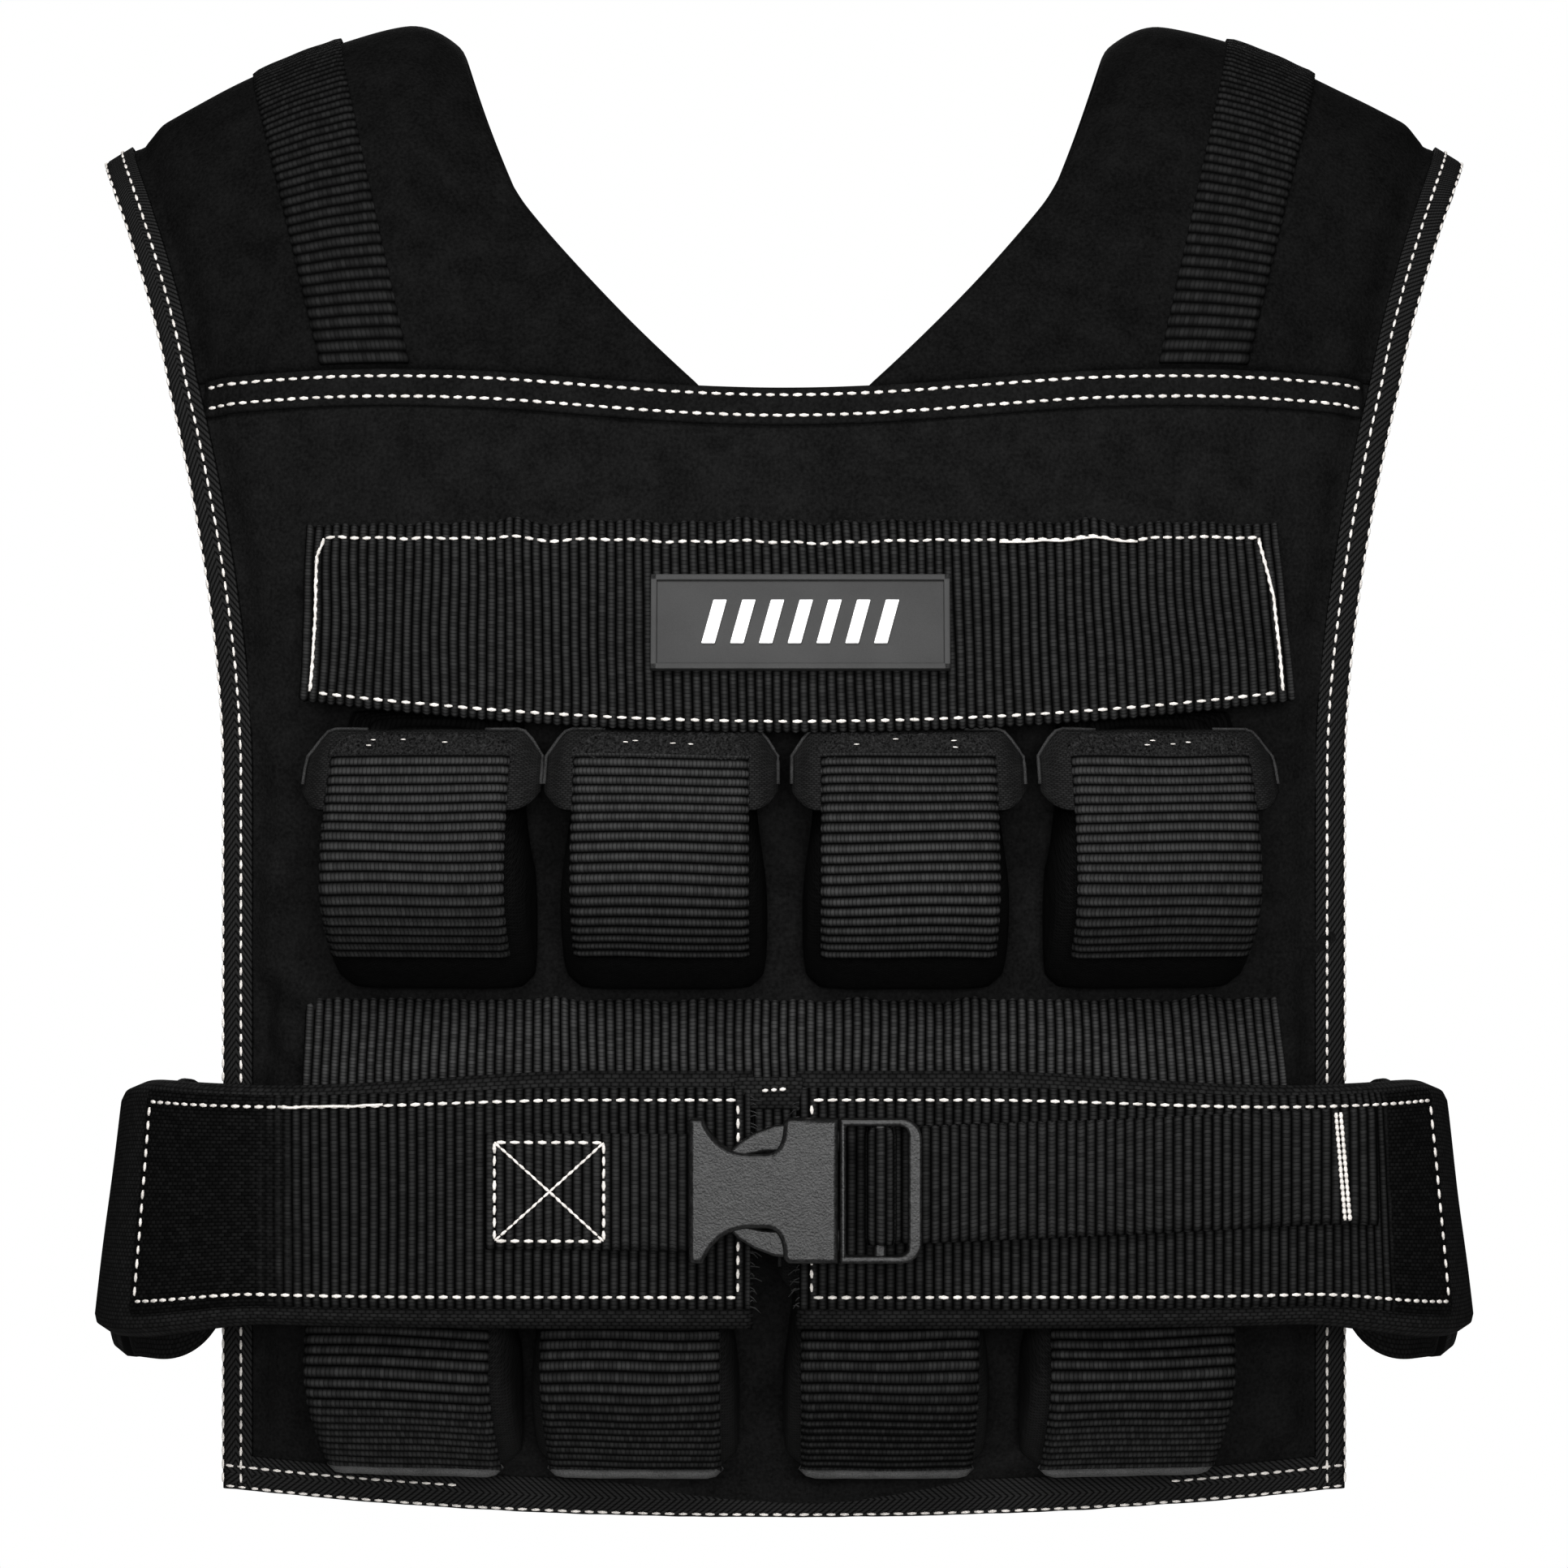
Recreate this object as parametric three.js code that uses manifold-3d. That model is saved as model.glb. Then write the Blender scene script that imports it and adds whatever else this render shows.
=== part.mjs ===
// Weighted vest in millimetres: x across, front towards -y, z up.
// The origin lies midway between the shoulders, at the height of their tops.
import * as THREE from 'three';
import { mergeVertices } from 'three/addons/utils/BufferGeometryUtils.js';
import Module from 'manifold-3d';

const wasm = await Module();
wasm.setup();

// Gaps between pieces that touch
const seatGap = 0.3;

// Trunk form that the vest keeps: inner face of the panels
const chestDepth = 100;        // centre front, and centre back, from the middle
const sideDrop = 30;           // depth lost at the bound edge
const sideDropPower = 2.6;     // keeps the middle of the chest flat
const springZ = -190;          // chest begins to lean back to the shoulder here
const ridgePeakX = 130;        // highest line of each shoulder
const ridgePeakZ = 6;
const ridgeFall = 46;          // shoulder's slope down to the arm
const ridgeFallPower = 1.4;
const neckDrop = 26;           // rounding of the shoulder down to the neck
const neckDropWidth = 42;

// Outline of the vest
const waistHalfWidth = 189;    // out to the bound edge
const yokeHalfWidth = 208.8;
const armHalfWidth = 236;
const flareStartZ = -250;
const flarePower = 1.75;
const armPower = 1.15;
const neckHalfWidth = 27;      // at the straight bottom of the neckline
const neckTopHalfWidth = 113;
const neckBow = 8.5;           // how far the neckline bows out between them
const hemDrop = 497.4;         // middle of the hem below the origin
const hemZ = -hemDrop;
const hemLift = 6.4;           // the hem rises to the sides
const yokeDrop = 122.2;        // panels join the shoulders this far below the origin
const yokeZ = -yokeDrop;
const yokeLift = 7.6;
const yokeCrestX = 141;

// Quilted panels
const padThick = 6;
const rimThick = 2.8;          // squeezed where a binding is sewn on
const rimWidth = 13;
const swellWidth = 10;

// Bindings and tapes
const bindingWidth = 12;
const bindingWall = 1.2;
const tapeWidth = 12.5;
const tapeWall = 1.2;

// Shoulder webbing
const shoulderStrapWidth = 30;
const shoulderStrapWall = 1.6;
const shoulderStrapFootX = 139;
const shoulderStrapTopX = 167.5;

// Flaps over the two rows of pouches
const flapWall = 2;
const flapHeight = 70;
const flapTopLeft = -159;
const flapTopRight = 164;
const flapFootLeft = -163;
const flapFootRight = 171;
const flapLift = 18;           // bottom edge stands off the panel
const upperFlapRise = 331.4;    // top edges of the two flaps above the hem
const lowerFlapRise = 172.9;
const upperFlapZ = hemZ + upperFlapRise;
const lowerFlapZ = hemZ + lowerFlapRise;

// Label patch, blank but for slanted bars
const patchWidth = 99;
const patchHeight = 32.6;
const patchWall = 2.2;
const patchRim = 2.1;
const patchRelief = 0.8;
const patchX = 5.4;
const patchDown = 34;          // its middle below the flap's top edge
const patchCorner = 1.5;
const barCount = 7;
const barWidth = 4.5;
const barHeight = 15;
const barPitch = 9.5;
const barSlant = 4;

// Pouches: each row hangs at one height, its pouches at their own places
const pouchWidth = 64;
const pouchHeight = 93;
const pouchDepth = 35;
const pouchCorner = 7;
const pouchStrapWidth = 55.5;
const pouchStrapWall = 1.8;
const coverWall = 1.6;
const mouthDrop = 62.5;         // pouch mouth below the top of its flap
const pouchSeat = 0.6;         // a filled pouch's back is flatter than the panel
// Widths of the covers as shares of a pouch's, centres as shares of the waist's half width
const pouchRows = [
  { row: 'upper', flapZ: upperFlapZ, coverWidth: 1.156, centres: [-0.603, -0.206, 0.209, 0.624] },
  { row: 'lower', flapZ: lowerFlapZ, coverWidth: 1.078, centres: [-0.627, -0.254, 0.175, 0.582] },
];
// Side profile of a filled pouch: shares of its height down, and of its depth out
const pouchProfile = [
  { down: 0.00, out: 0.18 },
  { down: 0.04, out: 0.30 },
  { down: 0.17, out: 0.64 },
  { down: 0.42, out: 0.90 },
  { down: 0.66, out: 1.00 },
  { down: 0.84, out: 0.93 },
  { down: 0.96, out: 0.62 },
  { down: 1.00, out: 0.22 },
];

// Waist belt, in two padded halves
const beltEase = 41;           // the belt's sides stand off the panels' edges
const beltHalfWidth = waistHalfWidth + beltEase;
const beltFrontDepth = chestDepth + padThick + 40;
const beltBackDepth = chestDepth + padThick + 0.6;
const beltSquare = 3.4;        // how square the belt runs round the corners
const beltThick = 8;
const beltTopRise = 150.9;      // top edge above the hem
const beltTopZ = hemZ + beltTopRise;
const beltHeight = 84;
const beltFootZ = beltTopZ - beltHeight;
const beltCornerStart = 0.72;  // share of the half width at which the sides begin
const beltEdgeShare = 0.55;    // thickness at its edges, as a share
const beltLean = 10;           // the sides flare out towards the bottom
const beltSag = 9;             // the sides hang lower than the front
const beltGapLeft = -10;       // inner ends of the halves, at the front
const beltGapRight = 4;
const beltBackReach = 42;      // inner ends at the back
const beltCornerRound = 7;
const webWall = 2;
const webHeight = 72;
const webDown = 5;             // below the belt's top edge
const leftWebReach = 167;
const rightWebReach = 192;
const backPatchWidth = 120;
const backPatchHeight = 74;
const backPatchWall = 2.4;

// Side-release buckle
const buckleMeetX = 17.4;      // socket and plug meet here
const buckleZ = beltTopZ - 37.5;
const buckleHeight = 46.5;
const buckleThick = 11;
const buckleStand = 6.5;       // back of the buckle above the belt webbing
const socketLength = 48;
const socketWaist = 24;
const socketBlock = 17.5;
const socketFlare = 9;
const socketStep = 4;          // from the waist out to the block
const cornerCut = 1;
const slotHeight = 43.6;
const slotThick = 5.4;
const frameLength = 27;
const frameRim = 2.5;
const frameCorner = 4;
const frameBar = 4;
const prongHeight = 7.3;
const prongLength = 33.3;
const barThick = 4;            // the strap runs over this bar, inside the frame
const frameInset = 1;          // the frame is thinner than the socket by this at each face
const tongueGap = 0.6;

// Buckle straps
const strapWidth = 38;
const strapWall = 1.8;
const leftStrapStart = -96;
const rightStrapEnd = 190;
const leftStrapDrop = 1.2;     // the straps lie a little off the buckle's middle
const rightStrapLift = 1.4;
const rightStrapRise = 5;      // it climbs further towards its outer end
const tailEnd = 90;

const FRONT = -1;
const BACK = 1;
const LEFT = -1;
const RIGHT = 1;

// Small numeric helpers
const lerp = (a, b, share) => a + (b - a) * share;
const clamp01 = (value) => Math.min(1, Math.max(0, value));
const smooth = (value) => clamp01(value) ** 2 * (3 - 2 * clamp01(value));
const stations = (count, from = 0, to = 1) =>
  Array.from({ length: count + 1 }, (_, i) => lerp(from, to, i / count));

const depthAt = (x) => chestDepth - sideDrop * (Math.abs(x) / waistHalfWidth) ** sideDropPower;

function ridgeAt(x) {
  const out = Math.abs(x) - ridgePeakX;
  if (out > 0) {
    return ridgePeakZ - ridgeFall * (out / (armHalfWidth - ridgePeakX)) ** ridgeFallPower;
  }
  return ridgePeakZ - neckDrop * smooth(-out / neckDropWidth);
}

const hemAt = (x) => hemZ + hemLift * (x / waistHalfWidth) ** 2;
const yokeAt = (x) => yokeZ + yokeLift * (1 - Math.cos((Math.PI * x) / yokeCrestX)) / 2;

// Half width of the vest at a height below the yoke, out to the bound edge
function panelHalfWidth(z) {
  const rise = clamp01((z - flareStartZ) / (yokeAt(yokeHalfWidth) - flareStartZ));
  return lerp(waistHalfWidth, yokeHalfWidth, rise ** flarePower);
}

const neckAt = (climb) => lerp(neckHalfWidth, neckTopHalfWidth, climb) + 4 * neckBow * climb * (1 - climb);
const armAt = (climb) => lerp(yokeHalfWidth, armHalfWidth, climb ** armPower);

// Point of the trunk's surface at x and z, on the front or the back
function trunk(x, z, face) {
  const rise = clamp01((z - springZ) / (ridgeAt(x) - springZ));
  return new THREE.Vector3(x, face * depthAt(x) * Math.sqrt(1 - rise * rise), z);
}

// Route over the vest: 0 to 1 up the front, 1 to 2 over the shoulder, 2 to 3 down the back
function overShoulder(x, route) {
  const turn = Math.PI * (route - 1);
  const z = lerp(yokeAt(x), ridgeAt(x), Math.sin(turn));
  return trunk(x, z, Math.cos(turn) > 0 ? FRONT : BACK);
}

function shell(x, route) {
  if (route <= 1) {
    return trunk(x, lerp(hemAt(x), yokeAt(x), route), FRONT);
  }
  if (route < 2) {
    return overShoulder(x, route);
  }
  return trunk(x, lerp(yokeAt(x), hemAt(x), route - 2), BACK);
}

function edgeAt(route) {
  if (route > 1 && route < 2) {
    return armAt(Math.sin(Math.PI * (route - 1)));
  }
  const up = route <= 1 ? route : 3 - route;
  return panelHalfWidth(lerp(hemAt(waistHalfWidth), yokeAt(yokeHalfWidth), up));
}

// Unit vector square to a surface that is given by two shares
function squareTo(place, u, v) {
  const reach = 1e-3;
  const low = (share) => Math.max(0, share - reach);
  const high = (share) => Math.min(1, share + reach);
  const along = place(high(u), v).sub(place(low(u), v));
  const across = place(u, high(v)).sub(place(u, low(v)));
  return along.cross(across).normalize();
}

function meshOf(positions, index) {
  const geometry = new THREE.BufferGeometry();
  geometry.setAttribute('position', new THREE.Float32BufferAttribute(positions, 3));
  geometry.setIndex(index);
  return geometry;
}

// Turns a closed geometry so that its faces point out
function facingOut(geometry) {
  const p = geometry.getAttribute('position');
  const index = geometry.index.array;
  const [a, b, c] = [new THREE.Vector3(), new THREE.Vector3(), new THREE.Vector3()];
  let volume = 0;
  for (let i = 0; i < index.length; i += 3) {
    a.fromBufferAttribute(p, index[i]);
    b.fromBufferAttribute(p, index[i + 1]);
    c.fromBufferAttribute(p, index[i + 2]);
    volume += a.dot(b.cross(c));
  }
  if (volume < 0) {
    for (let i = 0; i < index.length; i += 3) {
      [index[i], index[i + 1]] = [index[i + 1], index[i]];
    }
  }
  geometry.computeVertexNormals();
  return geometry;
}

// Closed skin round two grids of the same size: the two faces of one sheet
function closeGrids(faceA, faceB, columns, rows) {
  const positions = [...faceA, ...faceB].flatMap((p) => [p.x, p.y, p.z]);
  const index = [];
  const at = (face, i, j) => face * columns * rows + j * columns + i;
  const quad = (a, b, c, d) => index.push(a, b, c, a, c, d);
  for (let j = 0; j + 1 < rows; j += 1) {
    for (let i = 0; i + 1 < columns; i += 1) {
      quad(at(0, i, j), at(0, i, j + 1), at(0, i + 1, j + 1), at(0, i + 1, j));
      quad(at(1, i, j), at(1, i + 1, j), at(1, i + 1, j + 1), at(1, i, j + 1));
    }
  }
  for (let i = 0; i + 1 < columns; i += 1) {
    quad(at(0, i, 0), at(0, i + 1, 0), at(1, i + 1, 0), at(1, i, 0));
    quad(at(0, i + 1, rows - 1), at(0, i, rows - 1), at(1, i, rows - 1), at(1, i + 1, rows - 1));
  }
  for (let j = 0; j + 1 < rows; j += 1) {
    quad(at(0, 0, j + 1), at(0, 0, j), at(1, 0, j), at(1, 0, j + 1));
    quad(at(0, columns - 1, j), at(0, columns - 1, j + 1), at(1, columns - 1, j + 1), at(1, columns - 1, j));
  }
  return facingOut(meshOf(positions, index));
}

// Sheet of cloth: a surface, how far it stands off, and how thick it is
function sheet({ across, along, place, stand = () => 0, thick, turned = false }) {
  const under = [];
  const over = [];
  for (const v of along) {
    for (const u of across) {
      const out = squareTo(place, u, v).multiplyScalar(turned ? -1 : 1);
      const base = place(u, v).addScaledVector(out, stand(u, v));
      under.push(base);
      over.push(base.clone().addScaledVector(out, thick(u, v)));
    }
  }
  return closeGrids(under, over, across.length, along.length);
}

// Body made of rings of points, one ring on the next, with flat ends
function loft(rings) {
  const size = rings[0].length;
  const positions = rings.flat().flatMap((p) => [p.x, p.y, p.z]);
  const index = [];
  for (let k = 0; k + 1 < rings.length; k += 1) {
    for (let i = 0; i < size; i += 1) {
      const next = (i + 1) % size;
      const [a, b, c, d] = [k * size + i, k * size + next, (k + 1) * size + next, (k + 1) * size + i];
      index.push(a, b, c, a, c, d);
    }
  }
  const last = (rings.length - 1) * size;
  for (let i = 1; i + 1 < size; i += 1) {
    index.push(0, i + 1, i);
    index.push(last, last + i, last + i + 1);
  }
  return facingOut(meshOf(positions, index));
}

// Joining and cutting of closed geometries
function toSolid(geometry) {
  const bare = geometry.clone();
  bare.deleteAttribute('normal');
  bare.deleteAttribute('uv');
  const merged = mergeVertices(bare, 1e-4);
  return new wasm.Manifold(new wasm.Mesh({
    numProp: 3,
    vertProperties: new Float32Array(merged.getAttribute('position').array),
    triVerts: new Uint32Array(merged.index.array),
  }));
}

function fromSolid(solid) {
  const mesh = solid.getMesh();
  return facingOut(meshOf(Array.from(mesh.vertProperties), Array.from(mesh.triVerts)));
}

const blockAt = (x0, x1, y0, y1, z0, z1) =>
  new THREE.BoxGeometry(x1 - x0, y1 - y0, z1 - z0).translate((x0 + x1) / 2, (y0 + y1) / 2, (z0 + z1) / 2);

// Plate drawn in x and z, from y0 to y1
const cornerSteps = 2;
function plate(shape, y0, y1, curveSegments = 4) {
  const geometry = new THREE.ExtrudeGeometry(shape, { depth: y1 - y0, bevelEnabled: false, curveSegments });
  return geometry.rotateX(Math.PI / 2).translate(0, y1, 0);
}

function roundedRect(x0, x1, z0, z1, radius) {
  const shape = new THREE.Shape();
  shape.moveTo(x0 + radius, z0);
  shape.lineTo(x1 - radius, z0);
  shape.absarc(x1 - radius, z0 + radius, radius, -Math.PI / 2, 0);
  shape.lineTo(x1, z1 - radius);
  shape.absarc(x1 - radius, z1 - radius, radius, 0, Math.PI / 2);
  shape.lineTo(x0 + radius, z1);
  shape.absarc(x0 + radius, z1 - radius, radius, Math.PI / 2, Math.PI);
  shape.lineTo(x0, z0 + radius);
  shape.absarc(x0 + radius, z0 + radius, radius, Math.PI, 1.5 * Math.PI);
  return shape;
}

// Materials
const cloth = (color, roughness = 0.95) => new THREE.MeshStandardMaterial({ color, roughness, metalness: 0 });
const materials = {
  padded_fabric: cloth(0x26262a),
  webbing: cloth(0x1f2022),
  binding_twill: cloth(0x17181a),
  pouch_fabric: cloth(0x1c1c1f),
  belt_fabric: cloth(0x202124),
  rubber: cloth(0x55575a, 0.7),
  plastic: cloth(0x2c2e31, 0.42),
};

const vest = new THREE.Group();
function addPiece(name, geometry, material) {
  const mesh = new THREE.Mesh(geometry, materials[material]);
  mesh.name = name;
  vest.add(mesh);
  return mesh;
}

// Thickness of a panel: squeezed under the bindings, swelling behind them
function swell(fromEdge) {
  return lerp(rimThick, padThick, smooth((fromEdge - rimWidth) / swellWidth));
}
const panelThick = (x, z) => swell(Math.min(panelHalfWidth(z) - Math.abs(x), z - hemAt(x)));
const bindingInset = bindingWall + seatGap;

// Stations that the panels share with what is sewn along them
const rimShare = (bindingWidth + seatGap - bindingInset) / (2 * (waistHalfWidth - bindingInset));
const frontColumns = [0, rimShare, ...stations(16, 0.06, 0.94), 1 - rimShare, 1];
const backColumns = [0, rimShare, ...stations(10, 0.07, 0.93), 1 - rimShare, 1];
const panelRows = [0, rimWidth / (yokeZ - hemZ), 0.25, 0.45, 0.62, ...stations(6, 0.7, 1)];
const shoulderRows = stations(14);

// Front or back panel, from the hem to the yoke
function panel(face, columns) {
  const halfAt = (z) => panelHalfWidth(z) - bindingInset;
  const heightAt = (x, v) => lerp(hemAt(x) + bindingInset, yokeAt(x) - seatGap / 2, v);
  const place = (u, v) => {
    const share = 2 * u - 1;
    const x = share * halfAt(heightAt(share * waistHalfWidth, v));
    return trunk(x, heightAt(x, v), face);
  };
  const thick = (u, v) => {
    const at = place(u, v);
    return panelThick(at.x, at.z);
  };
  return sheet({
    across: columns,
    along: panelRows,
    place,
    thick,
    turned: face === BACK,
  });
}

// Shoulder from the front yoke over the ridge to the back yoke
const sewnShare = 0.9;         // station at the inner edge of the binding
function shoulder(side) {
  const start = Math.asin(seatGap / 2 / (ridgePeakZ - yokeZ)) / Math.PI;
  const place = (u, v) => {
    const route = 1 + lerp(start, 1 - start, v);
    const climb = Math.sin(Math.PI * (route - 1));
    const out = side === RIGHT ? u : 1 - u;
    const arm = armAt(climb);
    const sewn = arm - bindingWidth - seatGap;
    const x = out < sewnShare
      ? lerp(neckAt(climb), sewn, out / sewnShare)
      : lerp(sewn, arm - bindingInset, (out - sewnShare) / (1 - sewnShare));
    return overShoulder(side * x, route);
  };
  const thick = (u, v) => {
    const climb = Math.sin(Math.PI * lerp(start, 1 - start, v));
    return swell(armAt(climb) - Math.abs(place(u, v).x));
  };
  const fromNeck = [0, 0.12, 0.3, 0.48, 0.64, 0.78, sewnShare, 1];
  return sheet({
    across: side === RIGHT ? fromNeck : fromNeck.map((share) => 1 - share).reverse(),
    along: shoulderRows,
    place,
    thick,
  });
}

// Cross section of a binding folded round an edge: how far out, and how far off the trunk
const foldLeg = bindingWidth - bindingWall;
const foldHeight = rimThick + 2 * seatGap;
const foldLength = 2 * foldLeg + foldHeight;
const foldStations = [0, foldLeg / foldLength, (foldLeg + foldHeight) / foldLength, 1];
function foldSection(share) {
  const run = share * foldLength;
  const high = rimThick + seatGap;
  if (run < foldLeg) {
    return { out: run - bindingWidth, off: high };
  }
  if (run > foldLeg + foldHeight) {
    return { out: foldLeg + foldHeight - run - bindingWall, off: -seatGap };
  }
  return { out: -bindingWall, off: high - (run - foldLeg) };
}

// Binding down one side: up the front, over the shoulder, and down the back
function edgeBinding(side) {
  const place = (u, v) => {
    const route = 3 * u;
    const reach = 1e-3;
    const edge = (r) => shell(side * edgeAt(r), r);
    const along = edge(Math.min(3, route + reach)).sub(edge(Math.max(0, route - reach))).normalize();
    const surface = (x) => shell(x, route);
    const across = surface(side * edgeAt(route) + reach).sub(surface(side * edgeAt(route) - reach)).normalize();
    const off = across.clone().cross(along).normalize();
    const out = along.clone().cross(off).multiplyScalar(side);
    const fold = foldSection(side === RIGHT ? 1 - v : v);
    return edge(route).addScaledVector(out, fold.out).addScaledVector(off, fold.off);
  };
  const up = panelRows.slice(0, -1);
  const over = shoulderRows.map((share) => 1 + share);
  const down = up.map((share) => 3 - share).reverse();
  const routes = [...up, ...over, ...down].map((route) => route / 3);
  return sheet({ across: routes, along: foldStations, place, thick: () => bindingWall });
}

// Binding along a hem, between the two side bindings
function hemBinding(face, columns) {
  const half = waistHalfWidth - bindingInset;
  const place = (u, v) => {
    const x = lerp(-half, half, u);
    const z = hemAt(x);
    const reach = 0.5;
    const across = trunk(x + reach, z, face).sub(trunk(x - reach, z, face)).normalize();
    const off = across.cross(new THREE.Vector3(0, 0, 1)).multiplyScalar(-face);
    const fold = foldSection(v);
    return trunk(x, z - fold.out, face).addScaledVector(off, fold.off);
  };
  return sheet({
    across: columns.slice(1, -1),
    along: foldStations,
    place,
    thick: () => bindingWall,
    turned: face === FRONT,
  });
}

// Tape sewn along the top of a panel, under the shoulders
function yokeTape(face, columns) {
  const place = (u, v) => {
    const half = panelHalfWidth(yokeZ) - bindingInset;
    const x = lerp(-half, half, u);
    return trunk(x, lerp(yokeAt(x) - tapeWidth, yokeAt(x) - seatGap / 2, v), face);
  };
  return sheet({
    across: columns.slice(1, -1),
    along: stations(1),
    place,
    stand: (u, v) => panelThick(place(u, v).x, place(u, v).z) + seatGap,
    thick: () => tapeWall,
    turned: face === BACK,
  });
}

// Webbing over a shoulder, leaning out towards the top
const strapFoot = 0.004;
function shoulderStrap(side) {
  const place = (u, v) => {
    const route = 1 + lerp(strapFoot, 1 - strapFoot, v);
    const climb = Math.sin(Math.PI * (route - 1));
    const middle = side * lerp(shoulderStrapFootX, shoulderStrapTopX, climb);
    return overShoulder(middle + lerp(-1, 1, u) * shoulderStrapWidth / 2, route);
  };
  return sheet({
    across: stations(4),
    along: shoulderRows,
    place,
    stand: () => padThick + seatGap,
    thick: () => shoulderStrapWall,
  });
}

// Point in front of the front panel: its place, and how far off the padding
function offFront(x, z, off) {
  const place = (u, v) => trunk(x + u, z + v, FRONT);
  return trunk(x, z, FRONT).addScaledVector(squareTo(place, 0, 0), padThick + off);
}

// Flap of wide webbing, sewn along its top and standing off over the pouches
function flapStand(v) {
  return padThick + seatGap + flapLift * (1 - v);
}
function flap(topZ) {
  const place = (u, v) => {
    const left = lerp(flapFootLeft, flapTopLeft, v);
    const right = lerp(flapFootRight, flapTopRight, v);
    return trunk(lerp(left, right, u), lerp(topZ - flapHeight, topZ, v), FRONT);
  };
  return sheet({
    across: stations(16),
    along: stations(3),
    place,
    stand: (u, v) => flapStand(v),
    thick: () => flapWall,
  });
}

// Label patch: a plate with a raised rim and raised bars, lying on the slanted flap
function labelPatch() {
  const [x0, x1] = [-patchWidth / 2, patchWidth / 2];
  const [z0, z1] = [-patchHeight / 2, patchHeight / 2];
  const base = roundedRect(x0, x1, z0, z1, patchCorner);
  const rim = roundedRect(x0, x1, z0, z1, patchCorner);
  rim.holes.push(roundedRect(x0 + patchRim, x1 - patchRim, z0 + patchRim, z1 - patchRim, patchCorner / 2));
  let solid = toSolid(plate(base, -patchWall, 0, cornerSteps));
  const top = -patchWall - patchRelief;
  const sunk = -patchWall + patchRelief;
  solid = solid.add(toSolid(plate(rim, top, sunk, cornerSteps)));
  for (let i = 0; i < barCount; i += 1) {
    const middle = (i - (barCount - 1) / 2) * barPitch;
    const bar = new THREE.Shape();
    bar.moveTo(middle - barWidth / 2 - barSlant / 2, -barHeight / 2);
    bar.lineTo(middle + barWidth / 2 - barSlant / 2, -barHeight / 2);
    bar.lineTo(middle + barWidth / 2 + barSlant / 2, barHeight / 2);
    bar.lineTo(middle - barWidth / 2 + barSlant / 2, barHeight / 2);
    bar.closePath();
    solid = solid.add(toSolid(plate(bar, top, sunk)));
  }
  return fromSolid(solid);
}
function placeOnFlap(mesh, x, topZ, down) {
  const z = topZ - down;
  const faceY = (height) => trunk(x, height, FRONT).y - flapStand(1 - (topZ - height) / flapHeight);
  // The patch lies along the flap's own slope at its middle
  mesh.rotation.x = -Math.atan2(faceY(z + seatGap) - faceY(z - seatGap), 2 * seatGap);
  mesh.position.set(x, faceY(z) - flapWall - seatGap, z);
}

// Filled pouch, lofted down its side profile
const profileCurve = new THREE.SplineCurve(
  pouchProfile.map(({ down, out }) => new THREE.Vector2(down * pouchHeight, out * pouchDepth)),
);
// Stations down the profile, which the cover and the strap share with the pouch
const pouchStations = [0, 0.08, 0.22, 0.285, 0.36, 0.43, 0.56, 0.7, 0.84, 0.96, 1];
const coverStations = pouchStations.slice(2, 6);
const strapStations = pouchStations.slice(3, -1);
function pouch(centre, topZ) {
  const half = pouchWidth / 2;
  const rings = pouchStations.map((share) => {
    const at = profileCurve.getPoint(share);
    const round = Math.min(pouchCorner, at.y / 2);
    const outline = [[-half, 0], [0, 0], [half, 0], [half, at.y - round],
      [half - 0.3 * round, at.y - 0.3 * round], [half - round, at.y], [round - half, at.y],
      [0.3 * round - half, at.y - 0.3 * round], [-half, at.y - round]];
    return outline.map(([x, off]) => offFront(centre + x, topZ - at.x, pouchSeat + off));
  });
  return loft(rings);
}

// Sheet that follows a pouch's front at some height over it
function onPouch(centre, topZ, columns, shares, over, wall) {
  const place = (u, v) => {
    const share = shares[0] + v * (shares.at(-1) - shares[0]);
    const at = profileCurve.getPoint(share);
    const reach = 0.01;
    const slope = profileCurve.getPoint(share + reach).sub(profileCurve.getPoint(share - reach)).normalize();
    const x = lerp(columns[0], columns.at(-1), u);
    return offFront(centre + x, topZ - at.x + slope.y * over, pouchSeat + at.y + slope.x * over);
  };
  const toShare = (list) => list.map((value) => (value - list[0]) / (list.at(-1) - list[0]));
  return sheet({
    across: toShare(columns),
    along: toShare(shares),
    place,
    thick: () => wall,
    turned: true,
  });
}

// Route of the belt's inner face seen from above, from centre front to centre back
function beltCurve(side) {
  const corner = (turn, depth) => new THREE.Vector3(
    side * beltHalfWidth * Math.sin(turn) ** (2 / beltSquare),
    depth * Math.abs(Math.cos(turn)) ** (2 / beltSquare),
    0,
  );
  const quarter = stations(12, 0, Math.PI / 2);
  const front = quarter.map((turn) => corner(turn, FRONT * beltFrontDepth));
  const back = quarter.map((turn) => corner(turn, BACK * beltBackDepth)).reverse();
  return new THREE.CatmullRomCurve3([...front, ...back.slice(1)], false, 'centripetal');
}
const beltCurves = { [LEFT]: beltCurve(LEFT), [RIGHT]: beltCurve(RIGHT) };

// Share of the belt's route at which it passes a distance from the middle
function beltShareAt(side, x, half) {
  const curve = beltCurves[side];
  let [low, high] = half === FRONT ? [0, 0.45] : [1, 0.6];
  for (let i = 0; i < 24; i += 1) {
    const middle = (low + high) / 2;
    if (side * curve.getPointAt(middle).x < Math.abs(x)) {
      low = middle;
    } else {
      high = middle;
    }
  }
  return low;
}

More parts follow.
